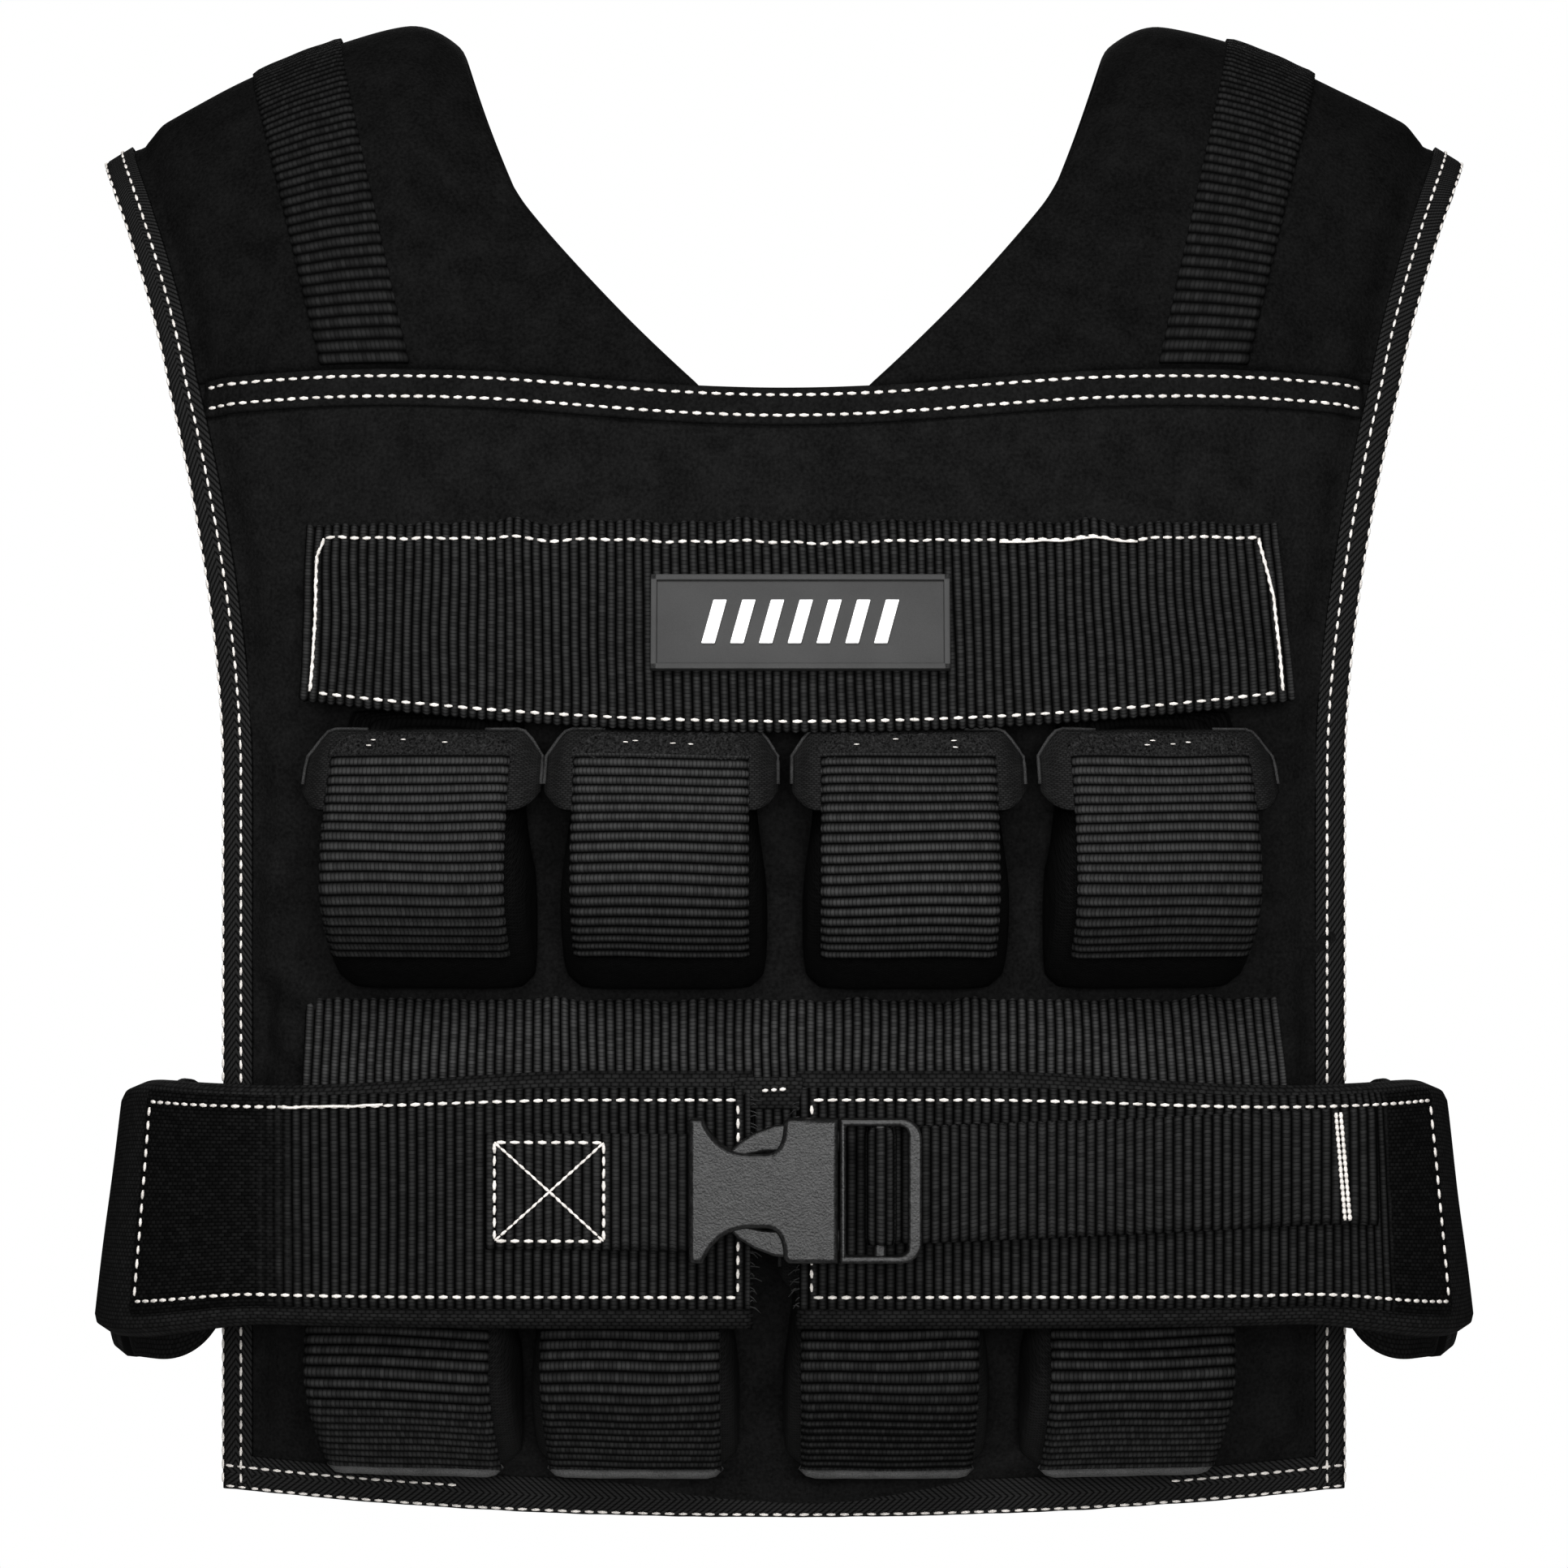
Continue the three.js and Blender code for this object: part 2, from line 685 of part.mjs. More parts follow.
// Place on the belt's inner face: share of the route, and share of its height
function onBelt(side, share, up) {
  const at = beltCurves[side].getPointAt(clamp01(share));
  const aside = smooth((Math.abs(at.x) / beltHalfWidth - beltCornerStart) / (1 - beltCornerStart));
  const reach = Math.abs(at.x);
  at.x = side * (reach - beltLean * aside * up);
  at.z = lerp(beltFootZ - beltSag * aside, beltTopZ, up);
  return at;
}

// Half of the padded belt
function beltPad(side) {
  const from = beltShareAt(side, side === LEFT ? beltGapLeft : beltGapRight, FRONT);
  const to = beltShareAt(side, beltBackReach, BACK);
  const place = (u, v) => onBelt(side, lerp(from, to, u), v);
  const round = beltCornerRound / beltHeight;
  const thick = (u, v) => beltThick * (v < round / 2 || v > 1 - round / 2 ? beltEdgeShare : 1);
  return sheet({
    across: stations(30),
    along: [0, round, 0.35, 0.65, 1 - round, 1],
    place,
    thick,
    turned: side === LEFT,
  });
}

// Ribbed webbing on the front of a belt half
function beltWebbing(side) {
  const start = side === LEFT ? beltGapLeft : beltGapRight;
  const from = beltShareAt(side, start + side, FRONT);
  const to = beltShareAt(side, side === LEFT ? leftWebReach : rightWebReach, FRONT);
  const high = 1 - webDown / beltHeight;
  const low = high - webHeight / beltHeight;
  return sheet({
    across: stations(16),
    along: stations(2),
    place: (u, v) => onBelt(side, lerp(from, to, u), lerp(low, high, v)),
    stand: () => beltThick + seatGap,
    thick: () => webWall,
    turned: side === LEFT,
  });
}

// Patch that holds the belt's ends on the back panel
function beltBackPatch() {
  const middle = (beltTopZ + beltFootZ) / 2;
  const place = (u, v) => {
    const x = lerp(-1, 1, u) * backPatchWidth / 2;
    const share = beltShareAt(RIGHT, Math.abs(x), BACK);
    const y = beltCurves[RIGHT].getPointAt(share).y;
    return new THREE.Vector3(x, y, middle + lerp(-1, 1, v) * backPatchHeight / 2);
  };
  return sheet({
    across: stations(8),
    along: stations(1),
    place,
    stand: () => beltThick + seatGap,
    thick: () => backPatchWall,
    turned: true,
  });
}

// Front of the belt webbing at the middle, which the buckle lies before
const buckleBackY = -(beltFrontDepth + beltThick + seatGap + webWall + buckleStand);

// Outline of the socket, from its flared end to the meeting line
function socketShape() {
  const half = buckleHeight / 2;
  const waist = socketWaist / 2;
  const end = -socketLength;
  const block = -socketBlock;
  const shape = new THREE.Shape();
  shape.moveTo(end, cornerCut - half);
  shape.lineTo(end + cornerCut, -half);
  shape.lineTo(end + socketFlare / 2, -half);
  shape.quadraticCurveTo(end + 0.8 * socketFlare, -waist, end + 1.5 * socketFlare, -waist);
  shape.lineTo(block - socketStep, -waist);
  shape.quadraticCurveTo(block, -waist, block, cornerCut - half);
  shape.lineTo(block + cornerCut, -half);
  shape.lineTo(0, -half);
  shape.lineTo(0, half);
  shape.lineTo(block + cornerCut, half);
  shape.lineTo(block, half - cornerCut);
  shape.quadraticCurveTo(block, waist, block - socketStep, waist);
  shape.lineTo(end + 1.5 * socketFlare, waist);
  shape.quadraticCurveTo(end + 0.8 * socketFlare, waist, end + socketFlare / 2, half);
  shape.lineTo(end + cornerCut, half);
  shape.lineTo(end, half - cornerCut);
  return shape;
}
const slotMiddle = -buckleThick / 2;
const pocketDepth = 4;         // where the left strap turns in behind the flared end
const pocketWidth = 3.4;
const pocketWall = 1.2;
const pocketX = -socketLength + pocketWall;
function buckleSocket() {
  const body = toSolid(plate(socketShape(), -buckleThick, 0, 4));
  const slot = blockAt(-socketBlock - prongLength / 2, 1, slotMiddle - slotThick / 2,
    slotMiddle + slotThick / 2, -slotHeight / 2, slotHeight / 2);
  const pocketHalf = strapWidth / 2 + leftStrapDrop + tongueGap;
  const pocket = blockAt(pocketX, pocketX + pocketWidth, -pocketDepth, 1, -pocketHalf, pocketHalf);
  return fromSolid(body.subtract(toSolid(slot)).subtract(toSolid(pocket)));
}

// Plug: frame with a bar for the strap, and two prongs that show in the socket's sides
const barMiddle = (seatGap + frameLength) / 2;
function bucklePlug() {
  const half = buckleHeight / 2;
  const [x0, x1] = [seatGap, frameLength];
  const frame = roundedRect(x0, x1, -half, half, frameCorner);
  const high = half - frameRim;
  frame.holes.push(roundedRect(x0 + frameRim, x1 - frameRim, -high, high, cornerCut));
  const [front, back] = [-buckleThick + frameInset, -frameInset];
  let solid = toSolid(plate(frame, front, back, 3));
  const bar = blockAt(barMiddle - frameBar / 2, barMiddle + frameBar / 2,
    slotMiddle - barThick / 2, slotMiddle + barThick / 2, -high - 1, high + 1);
  solid = solid.add(toSolid(bar));
  const thick = slotThick / 2 - tongueGap;
  for (const side of [-1, 1]) {
    const outer = side * (slotHeight / 2 - tongueGap);
    const inner = outer - side * prongHeight;
    const prong = blockAt(-prongLength, x0 + 1, slotMiddle - thick, slotMiddle + thick,
      Math.min(outer, inner), Math.max(outer, inner));
    solid = solid.add(toSolid(prong));
  }
  return fromSolid(solid);
}

// Strap that follows a route of its middle line: x, and distance in front of the belt webbing
function buckleStrap(route, zAt, columns) {
  const points = route.map(([x, off]) => new THREE.Vector3(x, off, 0));
  const curve = new THREE.CatmullRomCurve3(points, false, 'centripetal');
  const place = (u, v) => {
    const at = curve.getPoint(u);
    const side = at.x < 0 ? LEFT : RIGHT;
    const z = zAt(at.x) + lerp(-1, 1, v) * strapWidth / 2;
    const up = (z - beltFootZ) / beltHeight;
    const share = beltShareAt(side, at.x, FRONT);
    const face = (a, b) => onBelt(side, share + a, up + b);
    const out = squareTo(face, 0, 0).multiplyScalar(side);
    return onBelt(side, share, up).addScaledVector(out, beltThick + seatGap + webWall + at.y);
  };
  return sheet({
    across: stations(columns),
    along: stations(1),
    place,
    stand: () => -strapWall / 2,
    thick: () => strapWall,
  });
}

// The vest
for (const [name, face, columns] of [['front', FRONT, frontColumns], ['back', BACK, backColumns]]) {
  addPiece(`${name}_panel`, panel(face, columns), 'padded_fabric');
  addPiece(`${name}_yoke_tape`, yokeTape(face, columns), 'padded_fabric');
  addPiece(`${name}_hem_binding`, hemBinding(face, columns), 'binding_twill');
}
for (const [name, side] of [['left', LEFT], ['right', RIGHT]]) {
  addPiece(`${name}_shoulder`, shoulder(side), 'padded_fabric');
  addPiece(`${name}_edge_binding`, edgeBinding(side), 'binding_twill');
  addPiece(`${name}_shoulder_strap`, shoulderStrap(side), 'webbing');
  addPiece(`${name}_belt_pad`, beltPad(side), 'belt_fabric');
  addPiece(`${name}_belt_webbing`, beltWebbing(side), 'webbing');
}
addPiece('belt_back_patch', beltBackPatch(), 'webbing');

addPiece('upper_flap', flap(upperFlapZ), 'webbing');
addPiece('lower_flap', flap(lowerFlapZ), 'webbing');
placeOnFlap(addPiece('label_patch', labelPatch(), 'rubber'), patchX, upperFlapZ, patchDown);

for (const { row, flapZ, coverWidth, centres } of pouchRows) {
  centres.forEach((share, i) => {
    const centre = share * waistHalfWidth;
    const name = `${row}_${i + 1}`;
    const topZ = flapZ - mouthDrop;
    addPiece(`pouch_${name}`, pouch(centre, topZ), 'pouch_fabric');
    const [coverHalf, strapHalf] = [coverWidth * pouchWidth / 2, pouchStrapWidth / 2];
    const front = pouchWidth / 2 - pouchCorner;
    addPiece(`pouch_cover_${name}`, onPouch(centre, topZ,
      [-coverHalf, -front, 0, front, coverHalf], coverStations, seatGap, coverWall), 'pouch_fabric');
    addPiece(`pouch_strap_${name}`, onPouch(centre, topZ,
      [-strapHalf, 0, strapHalf], strapStations, coverWall + 2 * seatGap, pouchStrapWall), 'webbing');
  });
}

for (const [name, geometry] of [['buckle_socket', buckleSocket()], ['buckle_plug', bucklePlug()]]) {
  addPiece(name, geometry, 'plastic').position.set(buckleMeetX, buckleBackY, buckleZ);
}

// Left strap: sewn flat to the belt, then up into the pocket behind the socket's end
const strapSeat = seatGap + strapWall / 2;
const pocketMiddleX = buckleMeetX + pocketX + pocketWidth / 2;
const belowSocket = buckleStand - strapSeat;
addPiece('left_buckle_strap', buckleStrap([
  [leftStrapStart, strapSeat],
  [lerp(leftStrapStart, pocketMiddleX, 0.4), strapSeat],
  [lerp(leftStrapStart, pocketMiddleX, 0.75), lerp(strapSeat, belowSocket, 0.4)],
  [pocketMiddleX - 3, belowSocket - 0.4],
  [pocketMiddleX - 0.6, belowSocket + 0.6],
  [pocketMiddleX, buckleStand + pocketDepth - strapSeat],
], () => buckleZ - leftStrapDrop, 14), 'webbing');

// Right strap: from its sewn end to the plug, over the plug's bar, and back under itself
const frameEndX = buckleMeetX + frameLength;
const barX = buckleMeetX + barMiddle;
const overBar = buckleStand + (buckleThick + barThick) / 2 + strapSeat + seatGap;
const turnX = frameBar / 2 + strapSeat + 2 * seatGap;
const belowFrame = buckleStand + frameInset - strapSeat;
const overTail = strapSeat + strapWall + seatGap;
addPiece('right_buckle_strap', buckleStrap([
  [rightStrapEnd, strapSeat],
  [lerp(rightStrapEnd, tailEnd, 0.25), strapSeat],
  [lerp(rightStrapEnd, tailEnd, 0.5), strapSeat],
  [lerp(rightStrapEnd, tailEnd, 0.9), overTail],
  [lerp(tailEnd, frameEndX, 0.6), lerp(overTail, belowFrame, 0.5)],
  [frameEndX + 1, belowFrame],
  [barX + turnX + 2.4, belowFrame],
  [barX + turnX + 0.4, belowFrame + 1.6],
  [barX + turnX, overBar - 2.4],
  [barX + frameBar / 2, overBar],
  [barX - frameBar / 2, overBar],
  [barX - turnX, overBar - 2.4],
  [barX - turnX, belowFrame - 1.2],
  [barX - turnX + 1.8, strapSeat + 0.5],
  [barX + 2 * turnX, strapSeat],
  [tailEnd, strapSeat],
], (x) => buckleZ + rightStrapLift + rightStrapRise * clamp01((x - frameEndX) / (rightStrapEnd - frameEndX)),
60), 'webbing');

export default vest;
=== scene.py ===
# %% [markdown]
# # A weighted training vest
#
# The vest is black padded fabric with two rows of weight pouches, wide ribbed webbing over them, a
# padded belt with a side-release buckle, and rows of thick off-white stitching. Everything is dark, so
# its looks come from small shapes that catch the light: ribs, threads, folded edges and stitches.
# Those are modelled as real shapes, and the materials add only the threads that are finer than that.

import math
import random

import bmesh
import bpy
import numpy as np
from mathutils import Matrix, Vector, noise


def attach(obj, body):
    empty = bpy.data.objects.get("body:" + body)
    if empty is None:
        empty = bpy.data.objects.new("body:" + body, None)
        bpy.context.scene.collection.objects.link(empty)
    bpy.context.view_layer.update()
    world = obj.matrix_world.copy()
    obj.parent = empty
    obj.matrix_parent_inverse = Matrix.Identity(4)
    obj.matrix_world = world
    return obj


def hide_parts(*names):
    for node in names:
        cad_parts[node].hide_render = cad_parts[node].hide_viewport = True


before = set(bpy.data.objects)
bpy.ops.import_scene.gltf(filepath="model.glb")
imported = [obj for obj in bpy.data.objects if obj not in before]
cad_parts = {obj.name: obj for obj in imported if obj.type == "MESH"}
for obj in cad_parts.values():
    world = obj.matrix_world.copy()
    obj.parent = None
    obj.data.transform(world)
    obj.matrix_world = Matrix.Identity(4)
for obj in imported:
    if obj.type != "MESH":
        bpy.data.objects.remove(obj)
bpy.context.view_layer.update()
print("the frame has", len(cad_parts), "solids")

# %% [markdown]
# ## Camera, floor and light
#
# The photograph was taken level, from about two metres, with a long lens: the sides of the vest show no
# widening. The lens follows from the width that the picture covers at the chest.

# %% Camera
MM = 0.001
SENSOR = 36.0
VIEW_WIDTH = 521.6 * MM        # what the picture's width covers at the chest
CHEST_Y = -106 * MM
CAMERA_DISTANCE = 2.0
VIEW_Z = -253 * MM

camera_data = bpy.data.cameras.new("Camera")
camera_data.sensor_width = SENSOR
camera_data.lens = SENSOR * CAMERA_DISTANCE / VIEW_WIDTH
camera = bpy.data.objects.new("Camera", camera_data)
bpy.context.collection.objects.link(camera)
camera.location = (0, CHEST_Y - CAMERA_DISTANCE, VIEW_Z)
camera.rotation_euler = (math.pi / 2, 0, 0)
bpy.context.scene.camera = camera
print("lens", round(camera_data.lens), "mm")

# %% [markdown]
# The background is plain white and the floor is pale. The key light is a large soft box above and in
# front of the vest. That, with the painted shade on the upper pouch bodies, is what leaves the undersides
# of the pouches and flaps black in the photograph. The surroundings show white behind the vest, but they
# light it only weakly.

# %% Floor
FLOOR_Z = -0.76
FLOOR_RADIUS = 1.5

pale = bpy.data.materials.new("pale_floor")
pale.use_nodes = True
pale_shader = pale.node_tree.nodes["Principled BSDF"]
pale_shader.inputs["Base Color"].default_value = (0.86, 0.86, 0.85, 1)
pale_shader.inputs["Roughness"].default_value = 0.9

disc = bmesh.new()
bmesh.ops.create_circle(disc, cap_ends=True, segments=96, radius=FLOOR_RADIUS)
bmesh.ops.translate(disc, vec=(0, 0, FLOOR_Z), verts=disc.verts)
floor_mesh = bpy.data.meshes.new("floor")
disc.to_mesh(floor_mesh)
disc.free()
floor_mesh.materials.append(pale)
floor = bpy.data.objects.new("floor", floor_mesh)
bpy.context.collection.objects.link(floor)
print("the floor lies", -FLOOR_Z, "m below the origin")

# %% Surroundings
AMBIENT = 0.07                 # grey of the surroundings as light on the vest; the camera sees them white

scene = bpy.context.scene
scene.view_settings.view_transform = "Standard"
scene.view_settings.gamma = 0.7        # the photograph is printed hard, with its shadows closed
world = bpy.data.worlds.new("Surroundings")
scene.world = world
world.use_nodes = True
sky = world.node_tree
background = sky.nodes["Background"]
background.inputs["Strength"].default_value = 1.0
seen = sky.nodes.new("ShaderNodeLightPath")
shade = sky.nodes.new("ShaderNodeMix")
shade.data_type = "RGBA"
shade.inputs["A"].default_value = (AMBIENT, AMBIENT, AMBIENT, 1)
shade.inputs["B"].default_value = (1, 1, 1, 1)
sky.links.new(seen.outputs["Is Camera Ray"], shade.inputs["Factor"])
sky.links.new(shade.outputs["Result"], background.inputs["Color"])
print("view gamma", round(scene.view_settings.gamma, 2))

# %% Lights
VEST_MIDDLE = Vector((0, -0.05, -0.25))


def soft_box(name, place, size, power, spread=180):
    """Area light at place in metres, turned to the vest. spread is the angle of its beam in degrees."""
    data = bpy.data.lights.new(name, "AREA")
    data.shape = "RECTANGLE"
    data.size, data.size_y = size
    data.energy = power
    data.spread = math.radians(spread)
    light = bpy.data.objects.new(name, data)
    bpy.context.collection.objects.link(light)
    light.location = place
    light.rotation_euler = (VEST_MIDDLE - Vector(place)).to_track_quat("-Z", "Y").to_euler()


soft_box("key", (-0.12, -1.3, 0.9), (1.2, 0.7), 7.8, 80)
soft_box("front_fill", (0.1, -2.4, -0.1), (1.2, 0.8), 9.0, 60)
soft_box("left_edge", (-1.6, 0.2, 0.5), (0.5, 1.4), 1, 90)
soft_box("right_edge", (1.6, 0.2, 0.5), (0.5, 1.4), 1, 90)
soft_box("back_fill", (0.0, 2.2, 0.9), (1.4, 1.0), 8, 90)
print("lights turned to", [round(value, 2) for value in VEST_MIDDLE])

# %% [markdown]
# ## The form of the vest
#
# The vest keeps the form of a chest, so every cloth lies on one trunk surface. These sizes, in
# millimetres, and the few functions after them are those of the solids in the frame. A cloth is then
# described by where its threads run on that surface, and how far it stands off.

# %% Sizes of the trunk and the vest's outline
CHEST_DEPTH = 100
SIDE_DROP, SIDE_DROP_POWER = 30, 2.6
SPRING_Z = -190
RIDGE_PEAK_X, RIDGE_PEAK_Z = 130, 6
RIDGE_FALL, RIDGE_FALL_POWER = 46, 1.4
NECK_DROP, NECK_DROP_WIDTH = 26, 42
WAIST_HALF, YOKE_HALF, ARM_HALF = 189, 208.8, 236
FLARE_START_Z, FLARE_POWER, ARM_POWER = -250, 1.75, 1.15
NECK_HALF, NECK_TOP_HALF, NECK_BOW = 27, 113, 8.5
HEM_Z, HEM_LIFT = -497.4, 6.4
YOKE_Z, YOKE_LIFT, YOKE_CREST_X = -122.2, 7.6, 141
PAD_THICK, RIM_THICK, RIM_WIDTH, SWELL_WIDTH = 6, 2.8, 13, 10
FRONT, BACK = -1, 1
LEFT, RIGHT = -1, 1
FACES = [(FRONT, "front"), (BACK, "back")]
SIDES = [(LEFT, "left"), (RIGHT, "right")]


def lerp(a, b, share):
    return a + (b - a) * share


def clamp01(value):
    return min(1.0, max(0.0, value))


def smooth(value):
    value = clamp01(value)
    return value * value * (3 - 2 * value)


def depth_at(x):
    return CHEST_DEPTH - SIDE_DROP * (abs(x) / WAIST_HALF) ** SIDE_DROP_POWER


def ridge_at(x):
    out = abs(x) - RIDGE_PEAK_X
    if out > 0:
        return RIDGE_PEAK_Z - RIDGE_FALL * (out / (ARM_HALF - RIDGE_PEAK_X)) ** RIDGE_FALL_POWER
    return RIDGE_PEAK_Z - NECK_DROP * smooth(-out / NECK_DROP_WIDTH)


def hem_at(x):
    return HEM_Z + HEM_LIFT * (x / WAIST_HALF) ** 2


def yoke_at(x):
    return YOKE_Z + YOKE_LIFT * (1 - math.cos(math.pi * x / YOKE_CREST_X)) / 2


def half_width_at(z):
    rise = clamp01((z - FLARE_START_Z) / (yoke_at(YOKE_HALF) - FLARE_START_Z))
    return lerp(WAIST_HALF, YOKE_HALF, rise ** FLARE_POWER)


def neck_at(climb):
    return lerp(NECK_HALF, NECK_TOP_HALF, climb) + 4 * NECK_BOW * climb * (1 - climb)


def arm_at(climb):
    return lerp(YOKE_HALF, ARM_HALF, climb ** ARM_POWER)


def trunk(x, z, face):
    """Point of the trunk's surface on the front or the back."""
    rise = clamp01((z - SPRING_Z) / (ridge_at(x) - SPRING_Z))
    return Vector((x, face * depth_at(x) * math.sqrt(1 - rise * rise), z))


def over_shoulder(x, route):
    """Route 1 is the front yoke, 1.5 the ridge of the shoulder and 2 the back yoke."""
    turn = math.pi * (route - 1)
    z = lerp(yoke_at(x), ridge_at(x), math.sin(turn))
    return trunk(x, z, FRONT if math.cos(turn) > 0 else BACK)


def shell(x, route):
    if route <= 1:
        return trunk(x, lerp(hem_at(x), yoke_at(x), route), FRONT)
    if route < 2:
        return over_shoulder(x, route)
    return trunk(x, lerp(yoke_at(x), hem_at(x), route - 2), BACK)


def edge_x(route):
    if 1 < route < 2:
        return arm_at(math.sin(math.pi * (route - 1)))
    up = route if route <= 1 else 3 - route
    return half_width_at(lerp(hem_at(WAIST_HALF), yoke_at(YOKE_HALF), up))


def swell(from_edge):
    return lerp(RIM_THICK, PAD_THICK, smooth((from_edge - RIM_WIDTH) / SWELL_WIDTH))


def panel_thick(x, z):
    return swell(min(half_width_at(z) - abs(x), z - hem_at(x)))


print("chest half width at the waist", WAIST_HALF, "mm, shoulders out to", ARM_HALF, "mm")

# %% [markdown]
# ## How a cloth is made
#
# A length of cloth starts as a flat grid. Each of its points has two shares, across and along, and a
# function says where the point lies on the vest. After the grid is laid, it's moved out along its own
# normals, by a second function that holds its relief: ribs, swelling or wrinkles. The UV map is in
# millimetres of cloth, so a thread in a material has its real width on every piece. A Solidify modifier
# gives a webbing its thickness, and padded cloth gets a second layer, bridged to the first round its rim.

# %% Laying a cloth
RIBBED = "ribbed"              # vertex layer that says how much of a webbing's ribs shows


def laid_grid(place, columns, rows, size, stand=None, swap=False, ribbed=None):
    """Grid laid with place(u, v) in mm, then moved out by stand(u, v). size is the cloth's own, in mm."""
    mesh = bmesh.new()
    across = mesh.verts.layers.float.new("across")
    along = mesh.verts.layers.float.new("along")
    rib_share = mesh.verts.layers.float.new(RIBBED)
    bmesh.ops.create_grid(mesh, x_segments=columns, y_segments=rows, size=1)
    reach = max(vert.co.x for vert in mesh.verts)
    for vert in mesh.verts:
        u, v = (vert.co.x / reach + 1) / 2, (vert.co.y / reach + 1) / 2
        vert[across], vert[along] = u, v
        vert[rib_share] = ribbed(u, v) if ribbed else 1.0
        vert.co = place(u, v)
    mesh.normal_update()
    if stand:
        for vert in mesh.verts:
            vert.co += vert.normal * stand(vert[across], vert[along])
        mesh.normal_update()
    map_cloth(mesh, size, swap)
    return mesh


def map_cloth(mesh, size, swap=False):
    """UV map in mm. Its first number counts across the ribs, so swap turns it for ribs that run across."""
    across, along = mesh.verts.layers.float["across"], mesh.verts.layers.float["along"]
    layer = mesh.loops.layers.uv.get("UVMap") or mesh.loops.layers.uv.new("UVMap")
    for face in mesh.faces:
        for loop in face.loops:
            u, v = loop.vert[across] * size[0], loop.vert[along] * size[1]
            loop[layer].uv = (v, u) if swap else (u, v)


def finish_piece(mesh, name, material, nodes=(), wall=0.0):
    """Turns a bmesh in mm into an object that rides on the vest and takes the place of the named solids."""
    bmesh.ops.scale(mesh, vec=(MM, MM, MM), verts=mesh.verts)
    data = bpy.data.meshes.new(name)
    mesh.to_mesh(data)
    mesh.free()
    data.materials.append(material)
    data.shade_smooth()
    piece = bpy.data.objects.new(name, data)
    bpy.context.collection.objects.link(piece)
    if wall:
        thickness = piece.modifiers.new("Wall", "SOLIDIFY")
        thickness.thickness = wall * MM
        thickness.offset = -1
    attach(piece, "root")
    if nodes:
        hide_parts(*nodes)
    print(name, len(data.polygons), "faces")
    return piece


def finish_cords(mesh, name, material):
    bmesh.ops.recalc_face_normals(mesh, faces=mesh.faces)
    return finish_piece(mesh, name, material)


def padded_grid(place, columns, rows, size, thick):
    """Two layers of cloth round a filling: the inner one on the surface, the outer one thick(u, v) off it."""
    mesh = laid_grid(place, columns, rows, size)
    outer = list(mesh.verts)
    copy = bmesh.ops.duplicate(mesh, geom=list(mesh.faces) + list(mesh.edges) + outer)
    inner_faces = [item for item in copy["geom"] if isinstance(item, bmesh.types.BMFace)]
    bmesh.ops.reverse_faces(mesh, faces=inner_faces)
    across, along = mesh.verts.layers.float["across"], mesh.verts.layers.float["along"]
    for vert in outer:
        vert.co += vert.normal * thick(vert[across], vert[along])
    rims = [edge for edge in mesh.edges if edge.is_boundary]
    bmesh.ops.bridge_loops(mesh, edges=rims)
    mesh.normal_update()
    map_cloth(mesh, size)
    return mesh


# %% Relief of a cloth
RIB_STEPS = 6                  # grid steps across one rib


def square_to(place, u, v, reach=1e-3):
    """Unit vector square to a surface that is given by two shares."""
    low_u, high_u = max(0.0, u - reach), min(1.0, u + reach)
    low_v, high_v = max(0.0, v - reach), min(1.0, v + reach)
    along = place(high_u, v) - place(low_u, v)
    across = place(u, high_v) - place(u, low_v)
    return along.cross(across).normalized()


def wobble(x, z, size, seed):
    """Smooth random number from -1 to 1 that changes over a distance of size."""
    return noise.noise(Vector((x / size, z / size, seed)))


def rib(run, pitch, height):
    """Height of a round rib at a run across the ribs. Each rib is a little higher or lower than the last."""
    share = (run / pitch) % 1.0
    number = math.floor(run / pitch)
    arch = math.sqrt(max(0.0, 1 - (2 * share - 1) ** 2))
    return height * arch * (1 + 0.18 * noise.noise(Vector((number * 0.71, 3.3, 0.5))))


def scallop(run, pitch, depth):
    """How far an edge draws in between two ribs."""
    return depth * (1 - math.sqrt(max(0.0, 1 - (2 * ((run / pitch) % 1.0) - 1) ** 2)))


def edge_drop(share, width, depth, reach):
    """How far a cloth sinks towards its two edges, over a reach in mm. share runs across its width."""
    return depth * smooth(1 - min(share, 1 - share) * width / reach)


def runs_along(points):
    """Distance from the first point to each of the points, along the line through them."""
    steps = np.linalg.norm(np.diff(points, axis=0), axis=1)
    return np.concatenate([[0], np.cumsum(steps)])


def curve_through(before, points, after, steps):
    """Dense points of a smooth line through the given ones. The points before and after steer its ends."""
    known = [before, *points, after]
    curve = []
    for p0, p1, p2, p3 in zip(known, known[1:], known[2:], known[3:]):
        for i in range(steps):
            t = i / steps
            curve.append(0.5 * (2 * p1 + (p2 - p0) * t + (2 * p0 - 5 * p1 + 4 * p2 - p3) * t * t
                                + (3 * p1 - p0 - 3 * p2 + p3) * t ** 3))
    return np.array([list(point) for point in curve + [points[-1]]])


print("a rib is drawn with", RIB_STEPS, "steps")


# %% [markdown]
# ## Materials
#
# Four small groups of nodes hold what the cloths share. Ribbed threads draws the bead-like threads that
# wrap each rib of a webbing, with a painted highlight on the top of each bead and painted shade that
# leaves the valleys between ribs nearly black. Fine weave is the plain weave of the belt and the pouches,
# and twill is the herringbone of the bindings; both paint their threads lighter on top and darker between
# them, as painted highlight and shade. Mottle is the uneven brushed face of stretch fabric. Each group
# puts out a mask and a height, and the material mixes its colours by the mask and turns the height into
# a bump.

# %% Node helpers
def calc(tree, operation, *values):
    node = tree.nodes.new("ShaderNodeMath")
    node.operation = operation
    for socket, value in zip(node.inputs, values):
        if isinstance(value, bpy.types.NodeSocket):
            tree.links.new(value, socket)
        else:
            socket.default_value = value
    return node.outputs[0]


